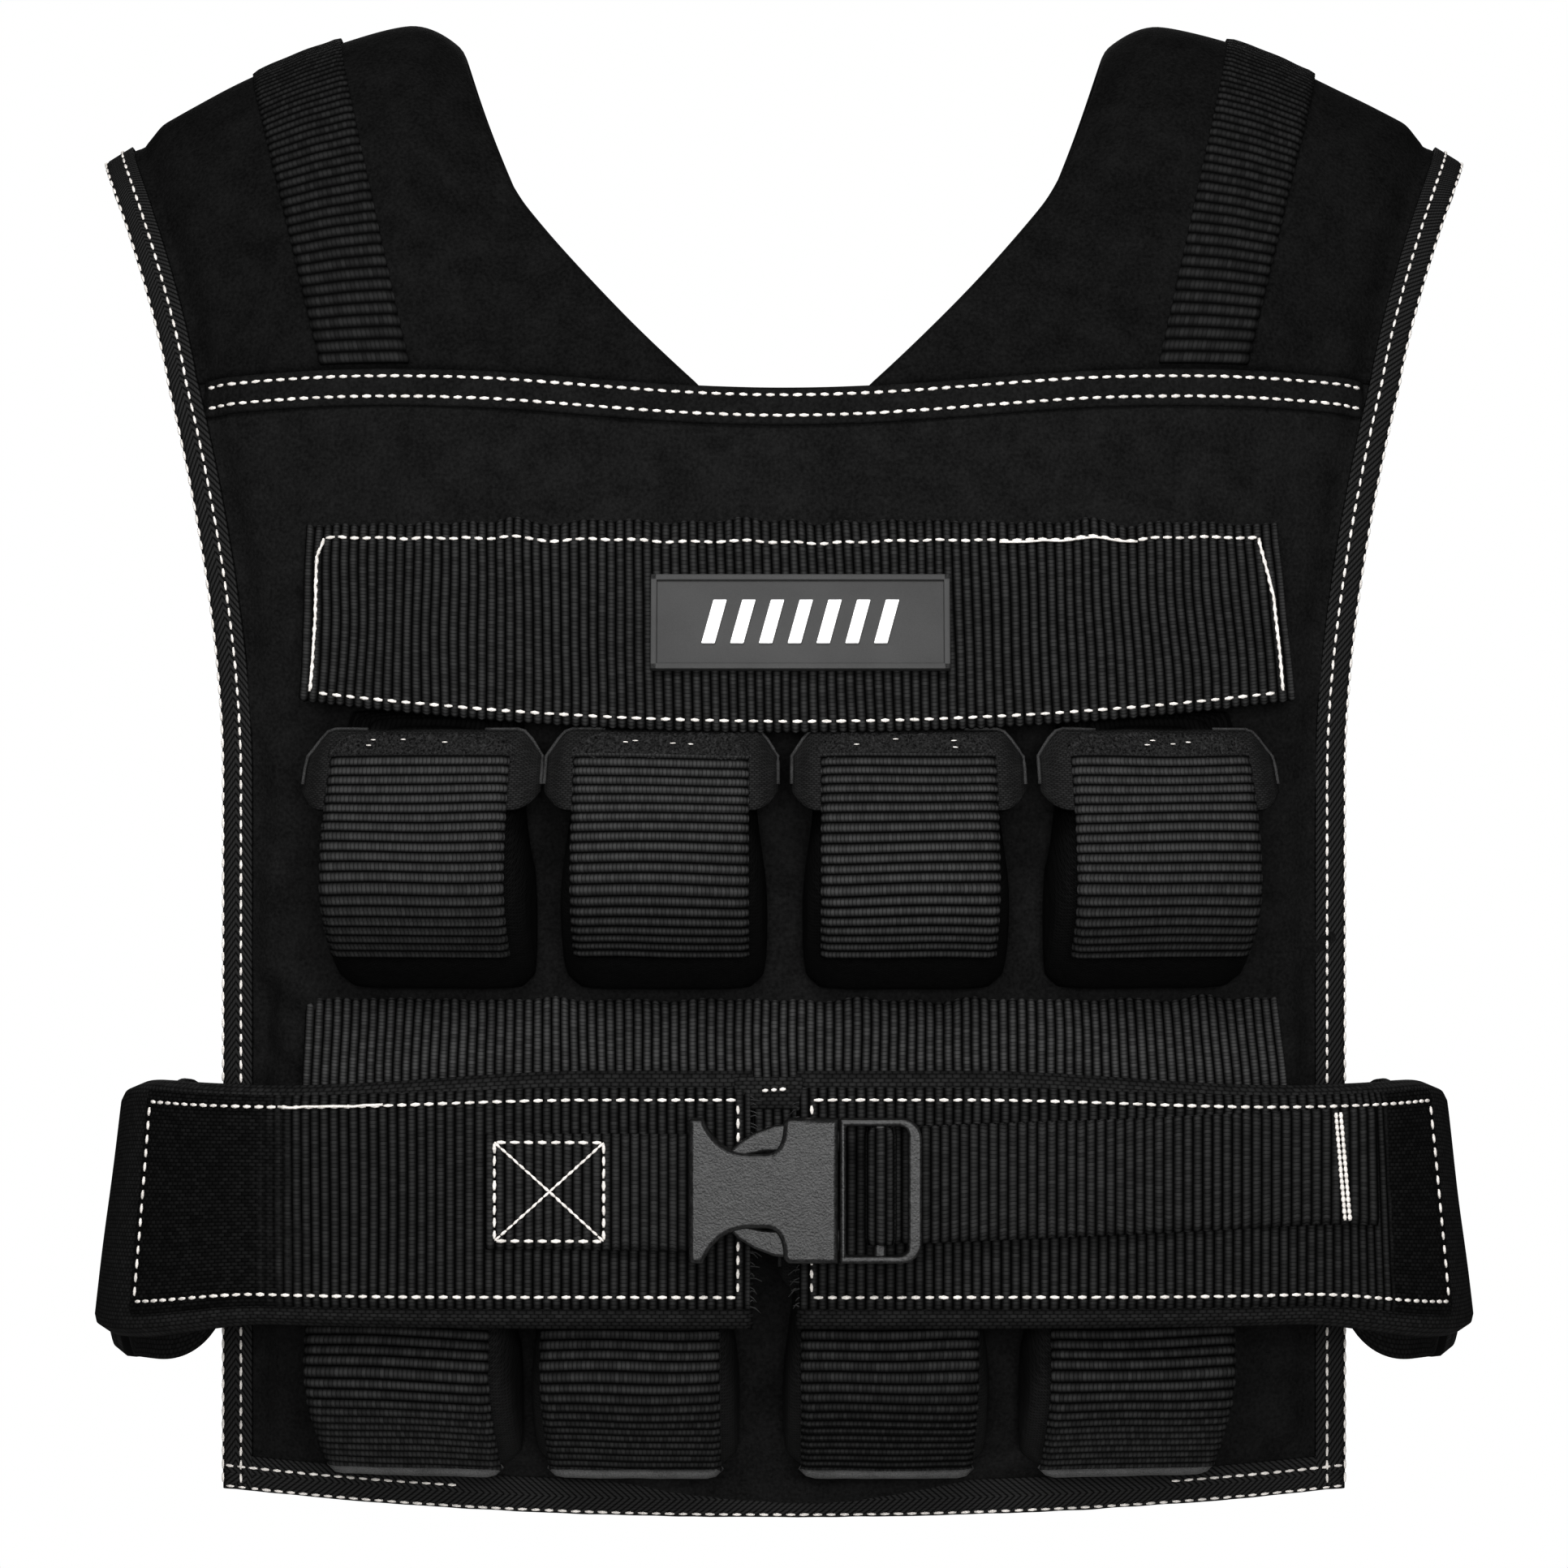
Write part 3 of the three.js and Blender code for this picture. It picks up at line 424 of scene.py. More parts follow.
def new_group(name, inputs, outputs):
    group = bpy.data.node_groups.new(name, "ShaderNodeTree")
    for label, kind, value in inputs:
        socket = group.interface.new_socket(label, in_out="INPUT", socket_type=kind)
        if value is not None:
            socket.default_value = value
    for label in outputs:
        group.interface.new_socket(label, in_out="OUTPUT", socket_type="NodeSocketFloat")
    return group, group.nodes.new("NodeGroupInput").outputs, group.nodes.new("NodeGroupOutput").inputs


def arch_of(tree, run):
    """Half-round arch over each whole step of run."""
    centred = calc(tree, "MULTIPLY_ADD", calc(tree, "FRACT", run), 2.0, -1.0)
    return calc(tree, "SQRT", calc(tree, "SUBTRACT", 1.0, calc(tree, "MULTIPLY", centred, centred)))


def random_of(tree, first, second):
    """Random number from 0 to 1 for each pair of whole numbers."""
    pair = tree.nodes.new("ShaderNodeCombineXYZ")
    tree.links.new(calc(tree, "FLOOR", first), pair.inputs[0])
    tree.links.new(calc(tree, "FLOOR", second), pair.inputs[1])
    white = tree.nodes.new("ShaderNodeTexWhiteNoise")
    white.noise_dimensions = "2D"
    tree.links.new(pair.outputs[0], white.inputs["Vector"])
    return white.outputs["Value"]


# %% Ribbed threads
def make_ribbed_threads():
    group, given, made = new_group(
        "ribbed_threads",
        [("Cloth", "NodeSocketVector", None), ("Rib", "NodeSocketFloat", 3.1),
         ("Thread", "NodeSocketFloat", 1.1), ("Unevenness", "NodeSocketFloat", 0.5)],
        ["Mask", "Height"],
    )
    split = group.nodes.new("ShaderNodeSeparateXYZ")
    group.links.new(given["Cloth"], split.inputs[0])
    across = calc(group, "DIVIDE", split.outputs[0], given["Rib"])
    shifted = calc(group, "MULTIPLY", calc(group, "FLOOR", across), 0.5)
    along = calc(group, "ADD", calc(group, "DIVIDE", split.outputs[1], given["Thread"]), shifted)
    arch = arch_of(group, across)
    bead = arch_of(group, along)
    uneven = calc(group, "MULTIPLY", random_of(group, across, along), given["Unevenness"])
    # Painted highlight on the top of each bead. The arch's high power is painted shade that leaves the
    # valleys between ribs nearly black.
    lit = calc(group, "MULTIPLY_ADD", bead, 0.6, 0.35)
    mask = calc(group, "MULTIPLY", calc(group, "POWER", arch, 3.2), lit)
    group.links.new(calc(group, "MULTIPLY", mask, calc(group, "SUBTRACT", 1.25, uneven)), made["Mask"])
    height = calc(group, "MULTIPLY", arch, calc(group, "MULTIPLY_ADD", bead, 0.45, 0.55))
    group.links.new(height, made["Height"])
    return group


ribbed_threads = make_ribbed_threads()
print("ribbed threads take", len(ribbed_threads.nodes), "nodes")


# %% Fine weave, twill and mottle
def make_fine_weave():
    """Plain weave: each thread shows over every second crossing."""
    group, given, made = new_group(
        "fine_weave",
        [("Cloth", "NodeSocketVector", None), ("Thread", "NodeSocketFloat", 0.9),
         ("Unevenness", "NodeSocketFloat", 0.5)],
        ["Mask", "Height"],
    )
    split = group.nodes.new("ShaderNodeSeparateXYZ")
    group.links.new(given["Cloth"], split.inputs[0])
    across = calc(group, "DIVIDE", split.outputs[0], given["Thread"])
    along = calc(group, "DIVIDE", split.outputs[1], given["Thread"])
    row = calc(group, "MULTIPLY", calc(group, "FLOOR", along), 0.5)
    column = calc(group, "MULTIPLY_ADD", across, 0.5, row)
    # Painted highlight and shade: each crossing is lighter on top and darker towards the gaps between
    # threads.
    knot = calc(group, "MULTIPLY", arch_of(group, column), arch_of(group, along))
    uneven = calc(group, "MULTIPLY", random_of(group, column, along), given["Unevenness"])
    group.links.new(calc(group, "MULTIPLY", knot, calc(group, "SUBTRACT", 1.2, uneven)), made["Mask"])
    group.links.new(knot, made["Height"])
    return group


def make_twill():
    """Diagonal ribs, turned at the middle of the tape as in herringbone."""
    group, given, made = new_group(
        "twill",
        [("Cloth", "NodeSocketVector", None), ("Pitch", "NodeSocketFloat", 2.2),
         ("Thread", "NodeSocketFloat", 0.9), ("Middle", "NodeSocketFloat", 6.0),
         ("Slope", "NodeSocketFloat", 1.2)],
        ["Mask", "Height"],
    )
    split = group.nodes.new("ShaderNodeSeparateXYZ")
    group.links.new(given["Cloth"], split.inputs[0])
    off = calc(group, "ABSOLUTE", calc(group, "SUBTRACT", split.outputs[1], given["Middle"]))
    run = calc(group, "MULTIPLY_ADD", off, given["Slope"], split.outputs[0])
    arch = arch_of(group, calc(group, "DIVIDE", run, given["Pitch"]))
    thread = arch_of(group, calc(group, "DIVIDE", split.outputs[1], given["Thread"]))
    # Painted highlight on the top of each thread, and painted shade between the diagonal ribs.
    lit = calc(group, "MULTIPLY_ADD", thread, 0.5, 0.5)
    group.links.new(calc(group, "MULTIPLY", calc(group, "POWER", arch, 2.0), lit), made["Mask"])
    group.links.new(arch, made["Height"])
    return group


def make_mottle():
    """Two sizes of uneven brushing, from about 0 to 1, on object coordinates."""
    group, given, made = new_group(
        "mottle",
        [("Place", "NodeSocketVector", None), ("Patch", "NodeSocketFloat", 90.0),
         ("Grain", "NodeSocketFloat", 900.0)],
        ["Mask", "Height"],
    )
    patch = group.nodes.new("ShaderNodeTexNoise")
    grain = group.nodes.new("ShaderNodeTexNoise")
    for node, scale, detail in [(patch, given["Patch"], 4.0), (grain, given["Grain"], 2.0)]:
        group.links.new(given["Place"], node.inputs["Vector"])
        group.links.new(scale, node.inputs["Scale"])
        node.inputs["Detail"].default_value = detail
    broad = calc(group, "MULTIPLY", patch.outputs["Fac"], 0.4)
    both = calc(group, "MULTIPLY_ADD", grain.outputs["Fac"], 0.6, broad)
    group.links.new(calc(group, "MULTIPLY_ADD", both, 3.0, -1.0), made["Mask"])
    group.links.new(grain.outputs["Fac"], made["Height"])
    return group


fine_weave, twill, mottle = make_fine_weave(), make_twill(), make_mottle()
print("node groups:", ", ".join(group.name for group in (ribbed_threads, fine_weave, twill, mottle)))


# %% Cloth materials
def blended(tree, share, low, high):
    node = tree.nodes.new("ShaderNodeMix")
    node.data_type = "RGBA"
    for socket, value in [(node.inputs["Factor"], share), (node.inputs["A"], low), (node.inputs["B"], high)]:
        if isinstance(value, bpy.types.NodeSocket):
            tree.links.new(value, socket)
        else:
            socket.default_value = value
    return node.outputs["Result"]


def grey(value, warmth=0.0):
    return (value * (1 + warmth), value, value * (1 - warmth), 1)


def placed_group(tree, group, source, **values):
    node = tree.nodes.new("ShaderNodeGroup")
    node.node_tree = group
    tree.links.new(source, node.inputs[0])
    for label, value in values.items():
        node.inputs[label].default_value = value
    return node.outputs


def cloth_material(name, group, source, low, high, bump, roughness, specular, **values):
    """Cloth whose colour runs from low to high by a group's mask. bump is the height of its threads in mm."""
    material = bpy.data.materials.new(name)
    material.use_nodes = True
    tree = material.node_tree
    shader = tree.nodes["Principled BSDF"]
    coordinates = tree.nodes.new("ShaderNodeTexCoord").outputs[source]
    made = placed_group(tree, group, coordinates, **values)
    tree.links.new(blended(tree, made["Mask"], grey(low), grey(high)), shader.inputs["Base Color"])
    relief = tree.nodes.new("ShaderNodeBump")
    relief.inputs["Distance"].default_value = bump * MM
    tree.links.new(made["Height"], relief.inputs["Height"])
    tree.links.new(relief.outputs["Normal"], shader.inputs["Normal"])
    shader.inputs["Roughness"].default_value = roughness
    shader.inputs["Specular IOR Level"].default_value = specular
    return material


def webbing_material(name, high, bump, rib_width, thread_width, unevenness,
                     low=0.0003, roughness=0.7, specular=0.05):
    """Ribbed webbing, nearly black between its ribs from painted shade. The widths are in mm."""
    return cloth_material(name, ribbed_threads, "UV", low, high, bump, roughness, specular,
                          Rib=rib_width, Thread=thread_width, Unevenness=unevenness)


brushed_fabric = cloth_material("brushed_fabric", mottle, "Object", 0.0075, 0.0195, 0.25, 0.95, 0.05)
# Painted shade: the chest's brushed fabric in a darker grey, for the shade on the shoulders where they lean
# back.
shoulder_cloth_shaded = cloth_material("shoulder_cloth_shaded", mottle, "Object", 0.0055, 0.0155, 0.25, 0.95, 0.05)
webbing_cloth = webbing_material("ribbed_webbing", 0.041, 0.45, 3.1, 1.3, 0.5)
# Painted light: the flap webbing made lighter for the lower flap, against the shade of the pouches above it.
painted_light_webbing = webbing_material("painted_light_webbing", 0.064, 0.45, 3.1, 1.3, 0.5, low=0.0005)
# Painted shade: the pouch straps' webbing in a darker grey for the lower straps, which lie in the belt's
# shade.
shaded_strap_webbing = webbing_material("shaded_strap_webbing", 0.043, 0.5, 3.2, 1.35, 0.6)
pouch_webbing = webbing_material("pouch_webbing", 0.054, 0.45, 3.2, 1.25, 0.4, roughness=0.65, specular=0.06)
shoulder_webbing = webbing_material("shoulder_webbing", 0.03, 0.2, 2.6, 1.5, 0.6, low=0.002, roughness=0.75)
belt_cloth = cloth_material("belt_weave", fine_weave, "UV", 0.002, 0.03, 0.15, 0.8, 0.05, Thread=1.3)
pouch_cloth = cloth_material("pouch_nylon", fine_weave, "UV", 0.003, 0.026, 0.12, 0.75, 0.1, Thread=0.8)
# Painted shade: the pouches' nylon in a near-black grey for the upper pouch bodies, whose undersides lie in
# shade.
shaded_pouch_nylon = cloth_material("shaded_pouch_nylon", fine_weave, "UV", 0.001, 0.012, 0.12, 0.8, 0.05, Thread=0.8)
binding_cloth = cloth_material("herringbone_tape", twill, "UV", 0.0015, 0.035, 0.3, 0.8, 0.06, Pitch=2.2)
# Painted highlight: the piping cord is a lighter grey than the covers, for the light along their edges. The
# frayed fibres at the buckle take the same grey.
piping_cloth = cloth_material("piping_cord", mottle, "Object", 0.02, 0.07, 0.2, 0.7, 0.1, Grain=2500.0)
# Painted highlight: the rolled lips are a much lighter grey than the straps, for the rim of light they catch
# from below.
lip_highlight_cloth = cloth_material("strap_lip", mottle, "Object", 0.045, 0.1, 0.2, 0.6, 0.2, Grain=2500.0)
fuzzy_cloth = cloth_material("hook_tape", mottle, "Object", 0.001, 0.05, 1.2, 0.9, 0.1,
                             Patch=900.0, Grain=1300.0)
print(len(bpy.data.materials), "materials so far")

# %% [markdown]
# The belt's webbing has ribs in its middle that fade into a plain weave towards the side seams. One
# material does both: the mesh carries how ribbed it is at each point, and the two groups of threads are
# mixed by that number. Two materials with a border between them would show a line.

# %% Webbing of the belt
def make_belt_webbing():
    """Ribbed webbing that turns into a fine weave where the attribute called ribbed falls to 0."""
    material = webbing_material("belt_webbing", 0.036, 0.45, 3.1, 1.3, 0.5)
    tree = material.node_tree
    plain = {node.bl_idname: node for node in tree.nodes}
    share = tree.nodes.new("ShaderNodeAttribute")
    share.attribute_name = RIBBED
    cloth = tree.nodes.new("ShaderNodeTexCoord").outputs["UV"]
    weave = placed_group(tree, fine_weave, cloth, Thread=1.25, Unevenness=0.7)
    ways = [("Mask", "ShaderNodeMix", "Factor", 0.42), ("Height", "ShaderNodeBump", "Height", 0.8)]
    for label, kind, socket, strength in ways:
        fine = calc(tree, "MULTIPLY", weave[label], strength)
        rest = calc(tree, "MULTIPLY", fine, calc(tree, "SUBTRACT", 1.0, share.outputs["Fac"]))
        ribs = plain["ShaderNodeGroup"].outputs[label]
        mixed = calc(tree, "MULTIPLY_ADD", ribs, share.outputs["Fac"], rest)
        tree.links.new(mixed, plain[kind].inputs[socket])
    return material


belt_webbing = make_belt_webbing()
print("the belt's webbing takes", len(belt_webbing.node_tree.nodes), "nodes")

# %% [markdown]
# The thread, the patch and the buckle have no weave. Waxed thread, rubber and moulded plastic differ in
# grey, in gloss and in the grain of their skin, so the mottle group serves all of them with a finer
# grain. The plastic keeps a broad unevenness too, which breaks up its highlights as moulding does.

# %% Thread, rubber and plastic
def plain_material(name, low, high, grain, bump, roughness, specular, patch=60.0, warmth=0.0):
    """Smooth stuff with a fine grain: moulded plastic, rubber or waxed thread."""
    material = cloth_material(name, mottle, "Object", low, high, bump, roughness, specular,
                              Patch=patch, Grain=grain)
    mix = next(node for node in material.node_tree.nodes if node.bl_idname == "ShaderNodeMix")
    mix.inputs["A"].default_value = grey(low, warmth)
    mix.inputs["B"].default_value = grey(high, warmth)
    return material


white_thread = plain_material("white_thread", 0.34, 0.62, 2500.0, 0.12, 0.7, 0.3, 300.0, 0.04)
rubber = plain_material("soft_rubber", 0.046, 0.06, 4000.0, 0.03, 0.6, 0.25)
white_rubber = plain_material("white_rubber", 0.72, 0.85, 4000.0, 0.02, 0.5, 0.3)
plastic = plain_material("moulded_plastic", 0.005, 0.029, 1500.0, 0.1, 0.38, 0.3, 400.0)
print(len(bpy.data.materials), "materials in all")

# %% [markdown]
# ## Stitches
#
# The stitching is thick off-white thread. Each stitch is a small rounded bead, longer than it is wide,
# that sinks a little into the cloth. A row walks along a path of points, and at each step it puts a
# stretched sphere along the path. Every stitch is turned a little, as a real machine's are.

# %% Rows of stitches
STITCH_PITCH, STITCH_LENGTH, STITCH_WIDTH = 4.5, 3.7, 1.35
STITCH_HEIGHT = 0.8            # as a share of its width
STITCH_SINK = 0.15             # how deep it sits in the cloth
STITCH_SWAY = 0.07             # how far it turns out of its row at most
dice = random.Random(11)


def one_stitch():
    unit = bmesh.new()
    bmesh.ops.create_uvsphere(unit, u_segments=6, v_segments=5, radius=0.5)
    data = bpy.data.meshes.new("unit_stitch")
    unit.to_mesh(data)
    unit.free()
    return data


unit_stitch = one_stitch()


def sew_row(mesh, path, pitch=STITCH_PITCH, length=STITCH_LENGTH, width=STITCH_WIDTH):
    """Stitches along path, a list of (point, normal) pairs in mm that lie close together."""
    points = np.array([list(point) for point, _ in path])
    normals = np.array([list(normal) for _, normal in path])
    run = runs_along(points)

    def at(table, distance):
        return Vector([np.interp(distance, run, table[:, i]) for i in range(3)])

    count = max(1, round(run[-1] / pitch))
    step = run[-1] / count
    size = len(unit_stitch.vertices)
    start = len(mesh.verts)
    for _ in range(count):
        mesh.from_mesh(unit_stitch)
    mesh.verts.ensure_lookup_table()
    for i in range(count):
        middle = (i + 0.5) * step
        along = (at(points, middle + length / 2) - at(points, middle - length / 2)).normalized()
        out = at(normals, middle).normalized()
        side = out.cross(along).normalized()
        along = (along + side * dice.uniform(-STITCH_SWAY, STITCH_SWAY)).normalized()
        side = out.cross(along).normalized()
        out = along.cross(side)
        turn = Matrix((along, side, out)).transposed().to_4x4()
        stretch = Matrix.Diagonal((length * dice.uniform(0.92, 1.08), width * dice.uniform(0.9, 1.1),
                                   width * STITCH_HEIGHT, 1))
        place = Matrix.Translation(at(points, middle) + out * (width * STITCH_HEIGHT / 2 - STITCH_SINK))
        verts = mesh.verts[start + i * size:start + (i + 1) * size]
        bmesh.ops.transform(mesh, matrix=place @ turn @ stretch, verts=verts)


def cord(mesh, points, radius, sides=5, taper=0.0):
    """Round cord along points. taper is how much thinner it ends, from 0 to 1."""
    rings = []
    last = len(points) - 1
    for i, point in enumerate(points):
        along = (points[min(i + 1, last)] - points[max(i - 1, 0)]).normalized()
        turn = Vector((0, 0, 1)).rotation_difference(along).to_matrix().to_4x4()
        ring = bmesh.ops.create_circle(mesh, segments=sides, radius=radius * (1 - taper * i / last),
                                       matrix=Matrix.Translation(point) @ turn, cap_ends=i in (0, last))
        rings.append(ring["verts"])
    for near, far in zip(rings, rings[1:]):
        for k in range(sides):
            mesh.faces.new((near[k], near[(k + 1) % sides], far[(k + 1) % sides], far[k]))


def even(height):
    """Stand of a path that keeps one height over its cloth."""
    return lambda u, v: height


def path_on(place, stand, corners, size, spacing=1.5):
    """Path over a laid cloth through corners, which are (across, along) in mm of cloth of a given size."""
    path = []
    for (a, b), (c, d) in zip(corners, corners[1:]):
        steps = max(2, round(math.hypot(c - a, d - b) / spacing))
        for i in range(steps + 1):
            u = lerp(a, c, i / steps) / size[0]
            v = lerp(b, d, i / steps) / size[1]
            normal = square_to(place, clamp01(u), clamp01(v))
            path.append((place(u, v) + normal * stand(u, v), normal))
    return path


print("a stitch is", len(unit_stitch.polygons), "faces")


# %% [markdown]
# ## Front and back panels
#
# A panel is stretch fabric over thin foam. It is squeezed where the bindings are sewn on and swells
# behind them, and it sags a little between its seams: on the front, slack folds run down from the sides
# behind the belt, and one long fold lies above the hem. All of that is in the outer layer's height.

# %% Panels
BINDING_WIDTH, BINDING_WALL, SEAT_GAP = 12, 1.2, 0.3
BINDING_INSET = BINDING_WALL + SEAT_GAP
GROOVE_OFF, GROOVE_WIDTH = 1.2, 1.3        # groove that a binding's stitches pull into the cloth beside it
SEAM_SINK, SEAM_WIDTH = 1.0, 2.0           # how far the cloth sinks at a yoke seam, and over what distance
PANEL_SLACK, PANEL_GROOVE = 0.7, 0.5


def panel_place(face):
    def place(u, v):
        share = (2 * u - 1) * -face
        height = lerp(hem_at(share * WAIST_HALF) + BINDING_INSET, yoke_at(share * WAIST_HALF), v)
        x = share * (half_width_at(height) - BINDING_INSET)
        return trunk(x, lerp(hem_at(x) + BINDING_INSET, yoke_at(x) - SEAT_GAP / 2, v), face)
    return place


def fold(x, z, start, end, width, height):
    """One soft fold along the line from start to end."""
    line = Vector((end[0] - start[0], end[1] - start[1]))
    offset = Vector((x - start[0], z - start[1]))
    share = offset.dot(line) / line.length_squared
    bend = 6 * math.sin(3 * math.pi * clamp01(share))
    away = (offset.x * line.y - offset.y * line.x) / line.length + bend
    return height * math.exp(-(away / width) ** 2) * smooth(share / 0.25) * smooth((1 - share) / 0.25)


# Folds of the front panel: start, end, width and height in mm
FRONT_FOLDS = [
    ((-183, -270), (-150, -350), 5, 2.72), ((-178, -300), (-158, -372), 4, -2.38),
    ((-176, -330), (-150, -395), 6, 3.06), ((182, -290), (160, -350), 6, 2.04),
    ((-170, -188), (-176, -260), 5, 1.36), ((178, -200), (172, -262), 6, 1.53),
    ((-165, -482), (165, -482), 5, 3.06), ((-150, -474), (170, -473), 4, -2.21),
]


def groove(from_edge, depth):
    """Depth of the groove inside a binding, at a distance from the vest's edge."""
    return depth * math.exp(-((from_edge - BINDING_WIDTH - GROOVE_OFF) / GROOVE_WIDTH) ** 2)


def panel_relief(face):
    place = panel_place(face)

    def thick(u, v):
        at = place(u, v)
        from_side = half_width_at(at.z) - abs(at.x)
        slack = PANEL_SLACK * wobble(at.x, at.z, 38, 1.0 + face)
        height = panel_thick(at.x, at.z) + slack * smooth((from_side - RIM_WIDTH) / 15)
        height -= groove(from_side, PANEL_GROOVE)
        height -= SEAM_SINK * smooth(1 - (yoke_at(at.x) - at.z) / SEAM_WIDTH)
        if face == FRONT:
            height += sum(fold(at.x, at.z, *shape) for shape in FRONT_FOLDS)
        return max(1.0, height)
    return thick


for face, name in FACES:
    size = (2 * WAIST_HALF, YOKE_Z - HEM_Z)
    mesh = padded_grid(panel_place(face), 150, 150, size, panel_relief(face))
    panel = finish_piece(mesh, name + "_padded_panel", brushed_fabric, [name + "_panel"])

# %% [markdown]
# ## Shoulders
#
# Each shoulder is a padded piece from the front yoke over the ridge to the back. Its neck edge is turned
# in and round, with no tape.

# %% Shoulders
NECK_ROUND = 5.0
EDGE_WALL = 0.35               # share of the thickness that is left at a turned edge
SHOULDER_SIZE = (140, 250)     # of the flat cloth
SHOULDER_RUN = 240             # from the front yoke over the ridge to the back yoke
SHOULDER_SLACK, SHOULDER_GROOVE = 0.8, 0.6


def shoulder_place(side):
    start = math.asin(SEAT_GAP / 2 / (RIDGE_PEAK_Z - YOKE_Z)) / math.pi

    def place(u, v):
        route = 1 + lerp(start, 1 - start, v)
        climb = math.sin(math.pi * (route - 1))
        out = u if side == RIGHT else 1 - u
        return over_shoulder(side * lerp(neck_at(climb), arm_at(climb) - BINDING_INSET, out), route)
    return place


def round_edge(distance, radius):
    """Share of the thickness at a distance from a turned edge."""
    inward = clamp01(distance / radius)
    return math.sqrt(1 - (1 - inward) ** 2) * (1 - EDGE_WALL) + EDGE_WALL


def shoulder_thick(side):
    place = shoulder_place(side)

    def thick(u, v):
        at = place(u, v)
        climb = math.sin(math.pi * v)
        from_arm = arm_at(climb) - abs(at.x)
        height = swell(from_arm) + SHOULDER_SLACK * wobble(at.x, at.z + 40 * v, 34, 5.0 + side)
        height -= groove(from_arm, SHOULDER_GROOVE)
        height *= round_edge(abs(at.x) - neck_at(climb), NECK_ROUND)
        return max(0.8, height - edge_drop(v, SHOULDER_RUN, SEAM_SINK, SEAM_WIDTH))
    return thick


for side, name in SIDES:
    mesh = padded_grid(shoulder_place(side), 90, 130, SHOULDER_SIZE, shoulder_thick(side))
    shoulder = finish_piece(mesh, name + "_padded_shoulder", shoulder_cloth_shaded,
                            [name + "_shoulder"])

# %% [markdown]
# ## Bindings
#
# A herringbone tape is folded round each bound edge. Its section is a leg, a half round and a second
# leg, so light runs along the fold. A sweep along the edge would twist where the shoulder turns over, so
# each point of the tape is placed by the edge's own two directions: out of the vest, and off it.

# %% Section of a binding
FOLD_RADIUS = 2.9
LEG = BINDING_WIDTH - FOLD_RADIUS
FOLD_MIDDLE = RIM_THICK / 2    # middle of the fold off the trunk
TAPE_LENGTH = 2 * LEG + math.pi * FOLD_RADIUS


def fold_section(share):
    """How far out, and how far off the trunk, at a share of the way round a binding's outer face."""
    run = share * TAPE_LENGTH
    if run < LEG:
        return run - BINDING_WIDTH, FOLD_MIDDLE + FOLD_RADIUS
    if run > TAPE_LENGTH - LEG:
        return LEG - BINDING_WIDTH - (run - TAPE_LENGTH + LEG), FOLD_MIDDLE - FOLD_RADIUS
    turn = (run - LEG) / FOLD_RADIUS
    return -FOLD_RADIUS + FOLD_RADIUS * math.sin(turn), FOLD_MIDDLE + FOLD_RADIUS * math.cos(turn)


def edge_frame(side, route):
    """Edge point, and the unit vectors out of the vest's side and off its surface."""
    reach = 1e-3

    def edge(r):
        return shell(side * edge_x(r), r)

    along = (edge(min(3, route + reach)) - edge(max(0, route - reach))).normalized()
    wide = shell(side * edge_x(route) + reach, route) - shell(side * edge_x(route) - reach, route)
    off = wide.normalized().cross(along).normalized()
    return edge(route), along.cross(off) * side, off


def hem_frame(face, x):
    z = hem_at(x)
    across = (trunk(x + 0.5, z, face) - trunk(x - 0.5, z, face)).normalized()
    return trunk(x, z, face), Vector((0, 0, -1)), across.cross(Vector((0, 0, 1))) * -face


print("a binding's tape is", round(TAPE_LENGTH, 1), "mm wide when flat")

# %% [markdown]
# Two rows of stitches hold a binding: one close to the fold and one near the inner edge. They follow the
# tape's own section, so they stand square to the fold as it turns.

# %% Stitch rows of a binding
STITCH_INSETS = (1.3, 8.1)     # distances of the two rows from the fold's outside
BINDING_STITCH = 1.15          # width of a stitch, smaller than on the webbing
HEM_ROW_GAP = (-108, 128)      # behind the lower pouches the front's upper row sinks into the sagging panel


def section_at(inset):
    """Share of the tape at which its outer face is an inset from the edge."""
    if inset > FOLD_RADIUS:
        return (BINDING_WIDTH - inset) / TAPE_LENGTH
    return (LEG + FOLD_RADIUS * math.asin(1 - inset / FOLD_RADIUS)) / TAPE_LENGTH


def binding_path(frame_at, stations, inset):
    share = section_at(inset)
    path = []
    for station in stations:
        edge, out, off = frame_at(station)
        here, near = fold_section(share), fold_section(share + 1e-3)
        normal = (out * -(near[1] - here[1]) + off * (near[0] - here[0])).normalized()
        path.append((edge + out * here[0] + off * here[1], normal))
    return path


print("stitch rows", STITCH_INSETS, "mm from a bound edge")

# %% Bindings of the sides
binding_stitches = bmesh.new()
for side, name in SIDES:
    def frame_at(route, side=side):
        return edge_frame(side, route)

    def place(u, v, side=side):
        edge, out, off = edge_frame(side, 3 * u)
        section = fold_section(1 - v if side == RIGHT else v)
        return edge + out * section[0] + off * section[1]

    def stand(u, v):
        return 0.25 * wobble(u * 900, v * 9, 9, 2.0)

    mesh = laid_grid(place, 420, 20, (1010, TAPE_LENGTH), stand)
    binding = finish_piece(mesh, name + "_side_binding", binding_cloth,
                           [name + "_edge_binding"], wall=1.0)
    for inset in STITCH_INSETS:
        path = binding_path(frame_at, np.linspace(0.004, 2.996, 900), inset)
        sew_row(binding_stitches, path, width=BINDING_STITCH)

